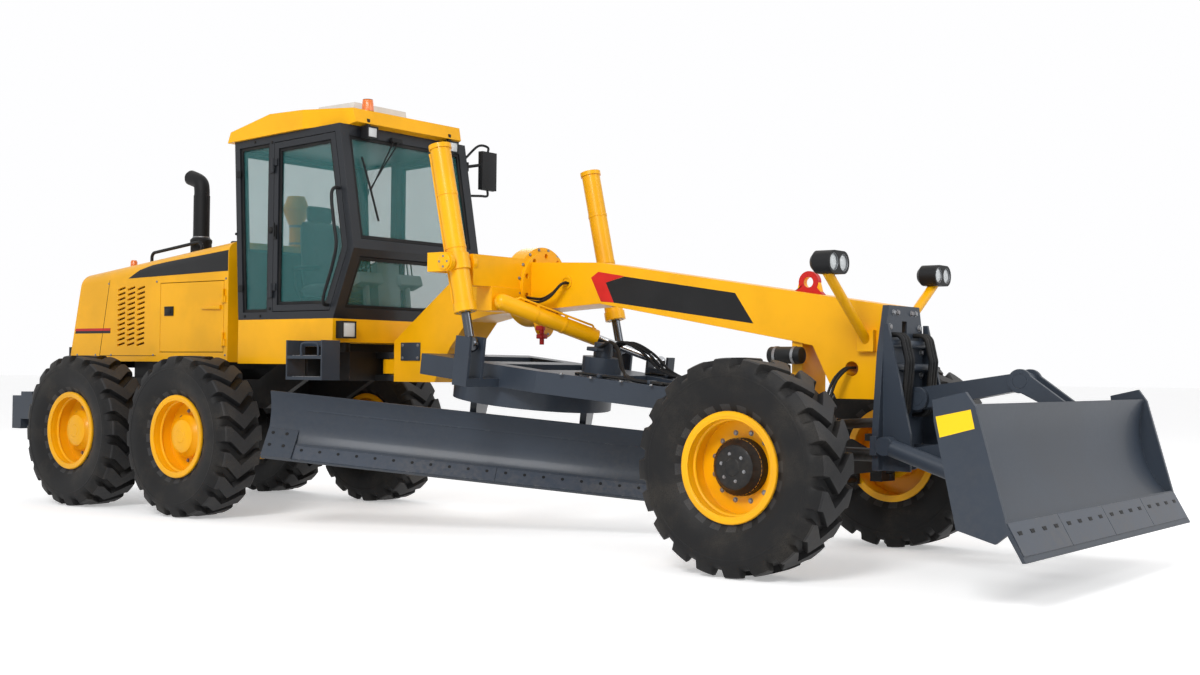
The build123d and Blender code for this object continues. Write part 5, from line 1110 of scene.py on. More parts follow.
    def tops(self) -> None:
        """Build the lamp, the filler cap and the stack's clamps and sleeve."""
        lamp, cap, clamps, sleeve = Shop(), Shop(), Shop(), Shop()
        lamp.lathe(at(-0.93, -0.50, 2.190), UP, ((0.032, 0.0), (0.032, 0.05), (0.024, 0.066), (0.0, 0.07)))
        lamp.done("hood_marker_lamp", Finish.AMBER, REAR)
        foot = self.top(self.filler[0])
        cap.lathe(at(*self.filler, foot), UP, ((0.075, -0.004), (0.075, 0.012), (0.055, 0.014), (0.055, 0.05),
                                               (0.046, 0.058), (0.0, 0.058)))
        for spot in about(at(*self.filler, foot + 0.013), UP, 0.065, 6):
            cap.bolt(spot, UP, 0.006)
        cap.done("filler_cap", Finish.BLACK, REAR)
        for height in (2.40, 2.56):
            clamps.ring(at(*self.cleaner, height), UP, 0.0595, 0.0655, 0.020)
        clamps.ring(at(*self.stack, 2.432), UP, 0.073, 0.078, 0.020)
        clamps.done("stack_clamps", Finish.STEEL, REAR)
        sleeve.lathe(at(*self.stack, 0.0), UP, ((0.099, 2.395), (0.099, 2.422), (0.074, 2.446), (0.074, 2.83),
                                                (0.060, 2.84)))
        station, side = self.stack
        bend = ((0.0, 2.82), (0.0, 2.88), (-0.015, 2.94), (-0.065, 2.975), (-0.165, 3.0095))
        sleeve.pipe([at(station + back, side, z) for back, z in bend], 0.070, 28, 8)
        sleeve.done("stack_sleeve", Finish.STACK, REAR)

    def build(self) -> None:
        """Build the trim of both flanks, the ends and the top."""
        for name, sign in SIDES:
            self.band(name, sign)
            self.flank(name, sign)
        self.screens()
        self.tops()


@dataclass
class CabTrim:
    """Seals, wipers, handles, lenses, mirror and inside of the cab."""

    outline: Profile = ((0.915, 1.66), (2.10, 1.66), (2.335, 2.22), (2.15, 3.24), (0.835, 3.19))
    glass: float = 0.7132
    skin: float = 0.741
    pane_half: float = 0.65
    pane_in: float = 0.0205
    rubber: float = 0.030
    studs: Profile = ((1.00, 1.69), (1.20, 1.69), (1.322, 1.75), (1.322, 3.15), (0.872, 2.40), (1.10, 3.17))
    wheel: tuple[float, float, float] = (1.852, 0.0, 2.17)
    column: tuple[float, float, float] = (-0.438, 0, 0.899)

    def screen(self, side: float, height: float, proud: float) -> Vector:
        """Point on the upper windscreen's outer plane."""
        return at(2.335 - (height - 2.22) * 0.1814 + proud, side, height)

    def seals(self) -> None:
        """Build the window seals."""
        clear = inset([at(x, 0.0, z) for x, z in self.outline], 0.062)
        leaf = inset(inset(clip(clear, 1.352, True), 0.006), 0.052)
        quarter = clip(clear, 1.292, False)
        for name, sign in SIDES:
            shift = Vector((0.0, sign * self.glass, 0.0))
            for label, corners, body in (("door", leaf, f"cab_door_{name}"), ("quarter", quarter, REAR)):
                shop = Shop()
                shop.border([p + shift for p in corners], 0.026, (0.0, sign * 0.014, 0.0))
                shop.done(f"{label}_window_seal_{name}", Finish.SEAL, body)
        half, fixed = self.pane_half, Shop()
        upper = [self.screen(half, z, -self.pane_in) for z in (2.30, 3.15)]
        lower = [at(2.10 + (z - 1.66) * 0.4196 - self.pane_in, half, z) for z in (1.75, 2.16)]
        back = [at(0.915 - (z - 1.66) * 0.0523 + 0.0195, half, z) for z in (2.25, 3.10)]
        for edge, out in ((upper, (0.984, 0.0, 0.178)), (lower, (0.922, 0.0, -0.387)), (back, (-1.0, 0.0, 0.0))):
            fixed.border(pane(edge), self.rubber, 0.012 * Vector(out))
        fixed.done("screen_seals", Finish.SEAL, REAR)

    def wipers(self) -> None:
        """Build the windscreen wiper."""
        shop = Shop()
        for start, end in ((-0.17, -0.49), (-0.11, -0.50)):
            shop.pipe([self.screen(start, 3.16, 0.028), self.screen((start + end) / 2, 2.95, 0.032),
                       self.screen(end, 2.72, 0.020)], 0.006, 8, 6)
        blade = ((-0.54, 2.98, 0.004), (-0.49, 2.72, 0.010), (-0.435, 2.46, 0.004))
        shop.pipe([self.screen(*spot) for spot in blade], 0.009, 8, 8)
        shop.box(self.screen(-0.20, 3.145, 0.0), self.screen(-0.08, 3.185, 0.045), 0.006)
        shop.done("wiper", Finish.SEAL, REAR)

    def doors(self) -> None:
        """Build the handles and catches on the doors and the fittings on the posts."""
        for name, sign in SIDES:
            out = (0, sign, 0)
            rail, catch, post = Shop(), Shop(), Shop()
            rail.pipe(route(sign, (2.158, 0.738, 2.71), (2.150, 0.79, 2.705), (2.142, 0.81, 2.64),
                            (2.175, 0.81, 2.42), (2.205, 0.81, 2.25), (2.155, 0.81, 2.06), (2.065, 0.81, 1.84),
                            (2.045, 0.79, 1.775), (2.043, 0.738, 1.768)), 0.014, 12, 6)
            rail.done(f"door_rail_{name}", Finish.BLACK, f"cab_door_{name}")
            catch.flank(rectangle(1.372, 2.33, 1.408, 2.45), self.skin, sign, 0.018, 0.005)
            catch.flank(((1.379, 2.35), (1.401, 2.35), (1.398, 2.47), (1.382, 2.47)), self.skin + 0.018, sign,
                        0.012, 0.004)
            catch.done(f"door_catch_{name}", Finish.BLACK, f"cab_door_{name}")
            post.lathe(at(1.322, sign * self.skin, 2.41), out, ((0.027, 0.0), (0.027, 0.010), (0.018, 0.018),
                                                                (0.0, 0.019)), 24)
            for x, z in ((0.945, 1.90), (0.90, 2.88)):
                post.flank(rectangle(x - 0.03, z, x + 0.03, z + 0.06), self.skin, sign, 0.012, 0.004)
            for x, z in self.studs:
                post.lathe(at(x, sign * self.skin, z), out, ((0.012, 0.0), (0.011, 0.006), (0.0, 0.008)), 16)
            post.done(f"post_fittings_{name}", Finish.SEAL, REAR)

    def lamps(self) -> None:
        """Build the lenses and the beacon's sleeve."""
        clear, black, tail, amber = Shop(), Shop(), Shop(), Shop()
        edge = 0.012
        for _, sign in SIDES:
            for x, side, half, low, high in ((2.255, 0.48, 0.06, 3.135, 3.235), (2.17, 0.63, 0.075, 1.50, 1.64)):
                middle = sign * side
                black.border([at(x, middle + y, z) for y, z in rectangle(-half, low, half, high)], edge,
                             (0.010, 0.0, 0.0))
                clear.box(at(x - 0.002, middle - half + edge, low + edge),
                          at(x + 0.005, middle + half - edge, high - edge), 0.003)
            for shop, low, high in ((tail, 1.39, 1.428), (amber, 1.352, 1.388)):
                shop.box(at(-1.7925, sign * 0.56 - 0.052, low), at(-1.784, sign * 0.56 + 0.052, high), 0.003)
        amber.lathe(at(2.04, -0.33, 3.400), UP, ((0.0515, 0.0), (0.0505, 0.03), (0.0455, 0.088), (0.040, 0.0995),
                                                 (0.0, 0.1025)))
        clear.done("lamp_lenses", Finish.CLEAR, REAR)
        black.done("lamp_bezels", Finish.BLACK, REAR)
        tail.done("tail_lenses", Finish.TAIL, REAR)
        amber.done("amber_lenses", Finish.AMBER, REAR)

    def mirror(self) -> None:
        """Build the mirror's shell, arms and glass, and the slots of the roof unit."""
        shell, face, slots = Shop(), Shop(), Shop()
        shell.box(at(2.192, 0.866, 2.856), at(2.248, 1.064, 3.204), 0.020)
        for arm in (((2.158, 0.745, 3.13), (2.20, 0.86, 3.245), (2.22, 0.965, 3.245), (2.22, 0.965, 3.19)),
                    ((2.215, 0.745, 2.79), (2.225, 0.87, 2.80), (2.22, 0.965, 2.81), (2.22, 0.965, 2.87))):
            shell.pipe(route(1, *arm), 0.011, 10, 8)
        shell.done("mirror_shell", Finish.BLACK, REAR)
        face.box(at(2.189, 0.884, 2.874), at(2.194, 1.046, 3.186), 0.002)
        face.done("mirror_face", Finish.MIRROR, REAR)
        for _, sign in SIDES:
            for x in (1.44, 1.57, 1.70):
                for z in (3.395, 3.42, 3.445):
                    side = sign * (0.33 - (z - 3.363) * 0.214)
                    slots.box(at(x, side - 0.004, z), at(x + 0.11, side + 0.004, z + 0.013), 0.002)
        slots.done("roof_unit_slots", Finish.SEAL, REAR)

    def inside(self) -> None:
        """Build the mat, the control pods, the levers and the steering wheel's grip."""
        mat, pods, levers = Shop(), Shop(), Shop()
        mat.box(at(0.98, -0.66, 1.529), at(2.03, 0.66, 1.536), 0.002)
        mat.done("floor_mat", Finish.SEAL, REAR)
        tilt = Matrix.Rotation(math.radians(-20), 3, "Y")
        knob = ((0.007, -0.01), (0.015, 0.012), (0.015, 0.028), (0.008, 0.040), (0.0, 0.042))
        for _, sign in SIDES:
            low, high = sorted((sign * 0.10, sign * 0.37))
            pods.box(at(1.88, low, 1.95), at(2.02, high, 2.05), 0.018, tilt)
            pods.pipe(route(sign, (1.95, 0.24, 1.96), (1.97, 0.24, 1.75), (1.98, 0.24, 1.535)), 0.028, 12, 5)
            for k in range(4):
                side = sign * (0.17 + 0.05 * k)
                levers.drum(at(1.94, side, 2.04), at(1.90, side, 2.25), 0.006, 8)
                levers.lathe(at(1.90, side, 2.25), (-0.19, 0, 0.98), knob, 12)
        grip = about(at(*self.wheel), self.column, 0.190, 24)
        levers.pipe(grip + grip[:2], 0.017, 10, 3)
        pods.done("control_pods", Finish.TRIM, REAR)
        levers.done("cab_levers", Finish.SEAL, REAR)

    def build(self) -> None:
        """Build all of the cab's trim."""
        self.seals()
        self.wipers()
        self.doors()
        self.lamps()
        self.mirror()
        self.inside()


@dataclass
class Seat:
    """Seat with crowned and seamed cushions in place of the plain CAD one."""

    cells: int = 14
    seam: float = 0.55
    seam_width: float = 0.05
    seam_depth: float = 0.10
    crease: float = 70.0

    def swell(self, u: float, v: float, face: float) -> float:
        """Share of the full thickness at a spot of a cushion.

        Args:
            u: Place along it, from -1 to 1.
            v: Place across it, from -1 to 1.
            face: 1 for its sewn upper face and -1 for the plain lower one.

        Returns:
            The share.
        """
        crown = ((1 - u ** 6) * (1 - v ** 6)) ** 0.4
        groove = 0.0
        if face > 0:
            beside = math.exp(-((abs(v) - self.seam) / self.seam_width) ** 2)
            between = math.exp(-((u - 0.1) / self.seam_width) ** 2) * (abs(v) < self.seam)
            groove = self.seam_depth * (beside + between)
        return max(0.0, crown * (0.82 + 0.18 * (1 - u * u) * (1 - v * v)) - groove)

    def pad(self, name: str, place: Matrix, size: Point) -> None:
        """Build one cushion with a crown and sewn channels.

        Args:
            name: Piece name.
            place: Where its centre lies and how it is turned.
            size: Length, width and thickness.
        """
        count = self.cells
        length, width, thick = (v / 2 for v in size)
        shop = Shop(place)
        spots = {}
        for face in (1.0, -1.0):
            for i in range(count + 1):
                for j in range(count + 1):
                    rim = i in (0, count) or j in (0, count)
                    if rim and face < 0:
                        spots[face, i, j] = spots[1.0, i, j]
                        continue
                    u, v = 2 * i / count - 1, 2 * j / count - 1
                    drawn = 1 - 0.06 * (u * u * v * v) ** 2
                    height = 0.0 if rim else face * thick * self.swell(u, v, face)
                    spots[face, i, j] = shop.mesh.verts.new((u * length * drawn, v * width * drawn, height))
            for i in range(count):
                for j in range(count):
                    corners = [spots[face, i + a, j + b] for a, b in ((0, 0), (1, 0), (1, 1), (0, 1))]
                    shop.mesh.faces.new(corners if face > 0 else corners[::-1])
        bmesh.ops.subdivide_edges(shop.mesh, edges=shop.mesh.edges[:], cuts=1, smooth=0.6, use_grid_fill=True)
        piece = shop.done(name, Finish.CLOTH, REAR, self.crease)

    def base(self) -> None:
        """Build the seat's foot, bellows, pan, arm rests and back plate."""
        base = Shop()
        base.box(at(1.13, -0.19, 1.531), at(1.53, 0.19, 1.60), 0.012)
        for k in range(6):
            fold, rise = 0.006 * (k % 2), 0.038 * k
            base.box(at(1.165 + fold, -0.155, 1.60 + rise), at(1.485 - fold, 0.155, 1.636 + rise), 0.012)
        base.box(at(1.11, -0.235, 1.828), at(1.56, 0.235, 1.875), 0.014)
        for _, sign in SIDES:
            low, high = sorted((sign * 0.262, sign * 0.325))
            base.pipe(route(sign, (1.14, 0.22, 1.86), (1.13, 0.285, 1.95), (1.13, 0.292, 2.10)), 0.016, 10, 5)
            base.box(at(1.11, low, 2.095), at(1.43, high, 2.145), 0.02)
        base.slab(route(-1, (1.075, 0.19, 1.93), (1.105, 0.19, 1.93), (1.062, 0.17, 2.52), (1.037, 0.17, 2.52)),
                  (0.0, 0.36, 0.0), 0.008)
        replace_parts(base.done("seat_frame", Finish.BLACK, REAR), "seat")

    def build(self) -> None:
        """Build the base and the cushions."""
        self.base()
        upright = Matrix.Rotation(math.radians(-94.5), 4, "Y") @ Matrix.Rotation(math.pi, 4, "X")
        self.pad("seat_cushion", Matrix.Translation(at(1.345, 0.0, 1.925)), (0.50, 0.50, 0.15))
        self.pad("seat_back", Matrix.Translation(at(1.130, 0.0, 2.25)) @ upright, (0.60, 0.46, 0.15))
        self.pad("seat_head_rest", Matrix.Translation(at(1.087, 0.0, 2.615)) @ upright, (0.15, 0.27, 0.10))


@dataclass
class StepTrim:
    """Grip studs and loop handles of the boarding steps."""

    treads: tuple[float, ...] = (1.185, 1.355)

    def build(self) -> None:
        """Build both sides."""
        grips, loops = Shop(), Shop()
        for _, sign in SIDES:
            for top in self.treads:
                for x in range(10):
                    for y in range(3):
                        foot = at(1.80 + 0.038 * x, sign * (0.785 + 0.05 * y), top - 0.001)
                        grips.drum(foot, foot + Vector((0, 0, 0.006)), 0.012, 12, 0.0, 0.008)
            loops.pipe(route(sign, (1.93, 0.915, 1.345), (1.93, 0.917, 1.43), (1.96, 0.917, 1.455),
                             (2.10, 0.917, 1.455), (2.13, 0.917, 1.43), (2.13, 0.915, 1.345)), 0.010, 10, 6)
        grips.done("step_grips", Finish.STEEL, REAR)
        loops.done("step_loops", Finish.SLATE, REAR)


@dataclass
class BeamTrim:
    """Bands, hoses, plates and lenses of the front frame's beam and head."""

    side: float = 0.180
    red: Profile = ((4.305, 1.952), (4.372, 1.994), (4.617, 1.954), (4.444, 1.911), (4.52, 1.761), (4.399, 1.772))
    band: Profile = ((4.444, 1.911), (4.617, 1.951), (5.574, 1.808), (5.725, 1.594), (4.52, 1.761))
    plate_depth: float = 0.012
    eye: tuple[float, float] = (6.064, 1.877)
    eye_half: float = 0.022
    tank: tuple[float, float] = (-0.245, 1.375)

    def bands(self) -> None:
        """Build the red chevron and the dark band on both sides."""
        for name, sign in SIDES:
            for label, outline, finish in (("red_flash", self.red, Finish.FLASH),
                                           ("beam_band", self.band, Finish.DECAL)):
                shop = Shop()
                shop.flank(outline, self.side, sign, FILM)
                shop.done(f"{label}_{name}", finish, FRONT)

    def fittings(self) -> None:
        """Build the bosses, plates, bolts and tank."""
        boss, steel, plate, black = Shop(), Shop(), Shop(), Shop()
        for _, sign in SIDES:
            out = Vector((0, sign, 0))
            boss.ring(at(4.07, sign * self.side, 1.924), out, 0.034, 0.052, 0.008, 32)
            plate.flank(rectangle(2.322, 1.325, 2.541, 1.474), self.side, sign, self.plate_depth, 0.004)
            for x, z in rectangle(2.345, 1.348, 2.518, 1.451):
                steel.bolt(at(x, sign * (self.side + self.plate_depth), z), out, 0.010)
            for y, z in ((0.215, 1.56), (0.245, 1.40), (0.245, 1.25)):
                steel.bolt(at(6.770, sign * y, z), AHEAD, 0.018)
        black.drum(at(5.90, *self.tank), at(6.15, *self.tank), 0.058, 28, 0.012)
        for x in (5.955, 6.095):
            steel.ring(at(x - 0.01, *self.tank), AHEAD, 0.058, 0.061, 0.02, 32)
            black.box(at(x - 0.012, -0.25, 1.365), at(x + 0.012, -0.158, 1.385), 0.003)
        boss.done("hose_bosses", Finish.YELLOW, FRONT)
        steel.done("beam_bolts", Finish.STEEL, FRONT)
        plate.done("beam_plates", Finish.SLATE, FRONT)
        black.done("air_tank", Finish.BLACK, FRONT)

    def eye_arc(self, radius: float, turns: Iterable[float]) -> list[Vector]:
        """Points of the lifting eye's right face, from turns in degrees past its front edge."""
        station, height = self.eye
        ways = [math.radians(turn - 30) for turn in turns]
        return [at(station + radius * math.cos(a), -self.eye_half, height + radius * math.sin(a)) for a in ways]

    def lifting_eye(self) -> None:
        """Build the cover of the lifting eye."""
        crown = self.eye_arc(0.0765, (240 * k / 15 for k in range(16)))
        bore = self.eye_arc(0.0365, (360 * k / 24 for k in range(24)))
        foot = [at(5.949 + 0.230 * k / 7, -self.eye_half, 1.815 - 0.028 * k / 7) for k in range(8)]
        cover = Shop()
        cover.plate([*crown, *foot], bore, (0, 2 * self.eye_half, 0))
        cover.done("lifting_eye_cover", Finish.RED, FRONT)

    def hoses(self) -> None:
        """Build the hoses that stay with the front frame."""
        shop = Shop()
        for _, sign in SIDES:
            for d in (0.0, 0.024):
                shop.pipe(route(sign, (4.06 + d, 0.150, 1.930 - d / 2), (4.06 + d, 0.235 + d, 1.905),
                                (4.00, 0.262 + d, 1.84 - d), (3.90, 0.262 + d, 1.80 - d),
                                (3.79, 0.245 + d, 1.805 - d), (3.712, 0.215 + d, 1.815 - d)), 0.0105, 10, 8)
                shop.pipe(route(sign, (6.47 + d, 0.150, 1.295), (6.46 + d, 0.245, 1.285), (6.42 + d, 0.315, 1.21),
                                (6.41 + d, 0.385, 1.09), (6.425 + d / 2, 0.455, 0.975)), 0.010, 10, 8)
        shop.done("beam_hoses", Finish.HOSE, FRONT)

    def lenses(self) -> None:
        """Build the round work lamp lenses."""
        glass, bowl = Shop(), Shop()
        dome = ((0.053, 0.0), (0.052, 0.006), (0.040, 0.012), (0.018, 0.0155), (0.0, 0.016))
        for side in (0.688, 0.812, -0.688, -0.812):
            centre = at(6.6755, side, 1.945)
            glass.lathe(centre, AHEAD, dome, 36)
            bowl.ring(centre, AHEAD, 0.0515, 0.0555, 0.018, 36)
        glass.done("work_lenses", Finish.CLEAR, FRONT)
        bowl.done("work_bezels", Finish.STEEL, FRONT)

    def build(self) -> None:
        """Build all of the beam's trim."""
        self.bands()
        self.lifting_eye()
        self.fittings()
        self.hoses()
        self.lenses()


@dataclass
class SaddleTrim:
    """Bolts, trunnion caps and lock pin of the saddle."""

    face: float = 3.690
    drum: float = 1.905
    pivot: float = 1.615
    trunnion: tuple[float, float, float] = (3.631, 1.051, 2.043)
    cap: Profile = ((0.060, -0.004), (0.060, 0.012), (0.050, 0.018), (0.0, 0.019))
    cover: Profile = ((0.105, 0.0), (0.105, 0.030), (0.098, 0.036), (0.0, 0.036))

    def build(self) -> None:
        """Build the trim on both sides."""
        bolts, caps, red = Shop(), Shop(), Shop()
        for foot in about(at(self.face, 0.0, self.drum), AHEAD, 0.294, 16, 0.2):
            bolts.bolt(foot, AHEAD, 0.010)
        station, side, height = self.trunnion
        for _, sign in SIDES:
            out = Vector((0, sign, 0))
            caps.lathe(at(station, sign * side, height), out, self.cap, 32)
            for foot in about(at(station, sign * (side + 0.018), height), out, 0.038, 4, 0.78):
                bolts.bolt(foot, out, 0.007)
        caps.lathe(at(self.face, 0.0, self.pivot), AHEAD, self.cover, 32)
        for foot in about(at(self.face + 0.036, 0.0, self.pivot), AHEAD, 0.078, 6):
            bolts.bolt(foot, AHEAD, 0.009)
        red.drum(at(3.765, -0.10, 1.455), at(3.765, -0.10, 1.60), 0.018, 16)
        red.box(at(3.735, -0.135, 1.50), at(3.795, -0.065, 1.535), 0.006)
        red.box(at(3.715, -0.120, 1.565), at(3.785, -0.080, 1.60), 0.005)
        bolts.done("saddle_bolts", Finish.STEEL, FRONT)
        caps.done("trunnion_caps", Finish.YELLOW, FRONT)
        red.done("lock_pin", Finish.RED, FRONT)


@dataclass
class CylinderTrim:
    """Hard lines, bands, ports and glands of the cylinders."""

    lift_lean: float = math.radians(12.8)
    lift_radius: float = 0.076
    shift_radius: float = 0.062
    line_off: float = 0.016

    def dress(self, label: str, body: str, start: Vector, end: Vector, radius: float, lift: Vector) -> None:
        """Dress one barrel.

        Args:
            label: Name of the cylinder.
            body: Body of its barrel.
            start: Centre of its closed end.
            end: Centre of its open end.
            radius: Barrel radius.
            lift: Direction from the axis to the hard line.
        """
        run = end - start
        axis = run.normalized()
        lift = (lift - lift.dot(axis) * axis).normalized()
        lines, bands, bolts = Shop(), Shop(), Shop()
        near, far = start + 0.05 * axis, end - 0.045 * axis
        raised, port = (radius + self.line_off) * lift, radius * 0.8 * lift
        lines.pipe([near + port, near + raised + 0.02 * axis, near + raised + 0.09 * axis,
                    far + raised - 0.09 * axis, far + raised - 0.02 * axis, far + port], 0.008, 10, 6)
        for share in (0.30, 0.62):
            spot = start + share * run
            bands.ring(spot - 0.011 * axis, axis, radius - 0.001, radius + 0.003, 0.022, 40)
            clamp = spot + (radius + 0.002) * lift
            bands.drum(clamp - 0.011 * axis, clamp + 0.011 * axis, 0.011, 12)
        for spot in (near, far):
            bands.drum(spot + radius * 0.7 * lift, spot + (radius + 0.006) * lift, 0.017, 16)
        for foot in about(end, axis, radius * 0.80, 8):
            bolts.bolt(foot - 0.001 * axis, axis, radius * 0.085)
        lines.done(f"{label}_line", Finish.YELLOW, body)
        bands.done(f"{label}_bands", Finish.YELLOW, body)
        bolts.done(f"{label}_gland_bolts", Finish.STEEL, body)

    def build(self) -> None:
        """Dress the lift and shift cylinders."""
        down = Vector((math.sin(self.lift_lean), 0.0, -math.cos(self.lift_lean)))
        for name, sign in SIDES:
            hub = at(3.631, sign * 0.91, 2.043)
            self.dress(f"lift_{name}", "lift_barrels", hub - 0.905 * down, hub + 0.375 * down, self.lift_radius,
                       Vector((-1.0, sign * 0.25, 0.0)))
        start = at(3.760, -0.560, 1.765)
        way = (at(4.420, 0.560, 1.330) - start).normalized()
        self.dress("shift", "shift_barrel", start + 0.05 * way, start + 0.80 * way, self.shift_radius,
                   Vector((0.3, 0.0, 1.0)))


@dataclass
class BladeTrim:
    """Lines, bolts, clamps and edge sections of the drawbar, the circle and the blade."""

    ball: Vector = field(default_factory=lambda: at(5.900, 0.0, 0.980))
    pitch: float = math.radians(6.3)
    swing: float = math.radians(32.0)
    edge_bolts: int = 22

    @property
    def level(self) -> Matrix:
        """Place of the level drawbar."""
        return Matrix.Translation(self.ball) @ Matrix.Rotation(self.pitch, 4, "Y") @ Matrix.Translation(-self.ball)

    @property
    def turned(self) -> Matrix:
        """Place of the turned circle."""
        return self.level @ Matrix.Translation(at(3.600, 0.0, 0.8995)) @ Matrix.Rotation(self.swing, 4, "Z")

    def drawbar(self) -> None:
        """Build the drawbar's lines, bolts and clamps."""
        lines, bolts, clamps = Shop(self.level), Shop(self.level), Shop(self.level)
        for _, sign in SIDES:
            for d in (0.0, 0.026):
                lines.pipe(route(sign, (5.62, 0.10 + d, 1.055), (5.56, 0.12 + d, 1.076), (5.20, 0.225 + d, 1.076),
                                 (4.70, 0.375 + d, 1.076), (4.44, 0.44 + d, 1.076), (4.36, 0.42 + d, 1.068)),
                           0.0095, 10, 8)
            for k in range(6):
                x = 5.45 - 0.22 * k
                bolts.bolt(at(x, sign * (0.18 + (5.76 - x) * 0.300), 1.060), UP, 0.012)
            for k in range(3):
                d = 0.028 * k
                lines.pipe(route(sign, (4.27, 0.045 + d, 1.245), (4.36 + d, 0.075 + d, 1.31),
                                 (4.50 + d, 0.15 + d, 1.25), (4.62 + d, 0.24 + d, 1.13),
                                 (4.80, 0.315 + d, 1.076), (5.05, 0.26 + d, 1.072)), 0.0105, 10, 8)
            clamps.box(at(4.20, sign * 0.10 - 0.045, 1.225), at(4.30, sign * 0.10 + 0.045, 1.255), 0.006)
            for x, y in ((5.35, 0.19), (4.95, 0.31), (4.58, 0.42)):
                clamps.box(at(x - 0.015, sign * y - 0.045, 1.059), at(x + 0.015, sign * y + 0.045, 1.088), 0.004)
        lines.done("drawbar_lines", Finish.HOSE, "drawbar")
        bolts.done("drawbar_bolts", Finish.STEEL, "drawbar")
        clamps.done("drawbar_clamps", Finish.SLATE, "drawbar")

    def blade(self) -> None:
        """Build the blade's cutting edge sections and bolts."""
        down, ahead = Vector((0.0, -0.6226, -0.7826)), Vector((0.0, -0.7826, 0.6226))
        low = Vector((0.0, -0.370, -0.700))
        edge, holes = Shop(self.turned), Shop(self.turned)
        root, reach = low - 0.055 * down + 0.0205 * ahead, 0.120 * down
        for ends in ((-1.755, -0.173), (-0.167, 1.415)):
            first, last = (Vector((x, 0, 0)) for x in ends)
            edge.slab([root + first, root + last, root + reach + last, root + reach + first], 0.003 * ahead, 0.0)
        step = 3.06 / (self.edge_bolts - 1)
        spots = [(-1.70 + k * step, -0.018, 0.0235, 0.0125) for k in range(self.edge_bolts)]
        spots += [(x, s, 0.0385, 0.014) for x in (-1.955, -1.845, 1.505, 1.615) for s in (-0.03, -0.14)]
        for x, drop, proud, radius in spots:
            spot = low + Vector((x, 0, 0)) + drop * down + proud * ahead
            holes.drum(spot - 0.001 * ahead, spot + 0.0015 * ahead, radius, 16, 0.0)
        edge.done("edge_sections", Finish.WORN, "circle")
        holes.done("edge_bolts", Finish.SEAL, "circle")

    def slide(self) -> None:
        """Build the cylinder that slides the blade."""
        barrel, rod = Shop(self.turned), Shop(self.turned)
        for shop, start, end, radius, sides, bevel in ((barrel, -0.95, 0.15, 0.036, 24, 0.006),
                                                       (barrel, -1.05, -0.93, 0.024, 16, 0.002),
                                                       (rod, 0.14, 1.15, 0.019, 20, 0.002)):
            shop.drum((start, -0.202, -0.482), (end, -0.202, -0.482), radius, sides, bevel)
        barrel.done("slide_barrel", Finish.SLATE, "circle")
        rod.done("slide_rod", Finish.CHROME, "circle")

    def build(self) -> None:
        """Build all of the blade gear's trim."""
        self.drawbar()
        self.blade()
        self.slide()


@dataclass
class DozerTrim:
    """Edge sections, slots and bracket bolts of the front blade."""

    sections: int = 4
    slots: int = 4
    start: float = -1.428
    section: float = 0.709
    spacing: float = 0.715
    slot_half: float = 0.011

    def build(self) -> None:
        """Build the front blade's trim."""
        top, tip = at(8.0535, 0.0, 0.4888), at(8.17, 0.0, 0.280)
        out = Vector((0.8232, 0.0, 0.5678))
        run = tip - top
        along = run.normalized()
        edge, slots, bolts = Shop(), Shop(), Shop()
        for k in range(self.sections):
            y0 = self.start + self.spacing * k
            corners = ((0.05, y0), (0.05, y0 + self.section), (0.85, y0 + self.section), (0.85, y0))
            edge.slab([top + share * run + Vector((0, y, 0)) for share, y in corners], 0.004 * out, 0.0)
            for j in range(self.slots):
                spot = top + 0.32 * run + Vector((0, y0 + 0.095 + 0.173 * j, 0)) + 0.003 * out
                corners = ((1, -0.024), (1, 0.024), (-1, 0.030), (-1, -0.030))
                slots.slab([spot + way * self.slot_half * along + Vector((0, y, 0)) for way, y in corners],
                           0.0025 * out, 0.0)
        for _, sign in SIDES:
            for y, z in ((0.16, 1.655), (0.10, 1.655), (0.275, 0.70), (0.275, 0.78)):
                bolts.bolt(at(6.770, sign * y, z), AHEAD, 0.015)
        bolts.done("bracket_bolts", Finish.STEEL, FRONT)
        edge.done("dozer_edge_sections", Finish.WORN, "dozer_blade")
        slots.done("dozer_edge_slots", Finish.SEAL, "dozer_blade")


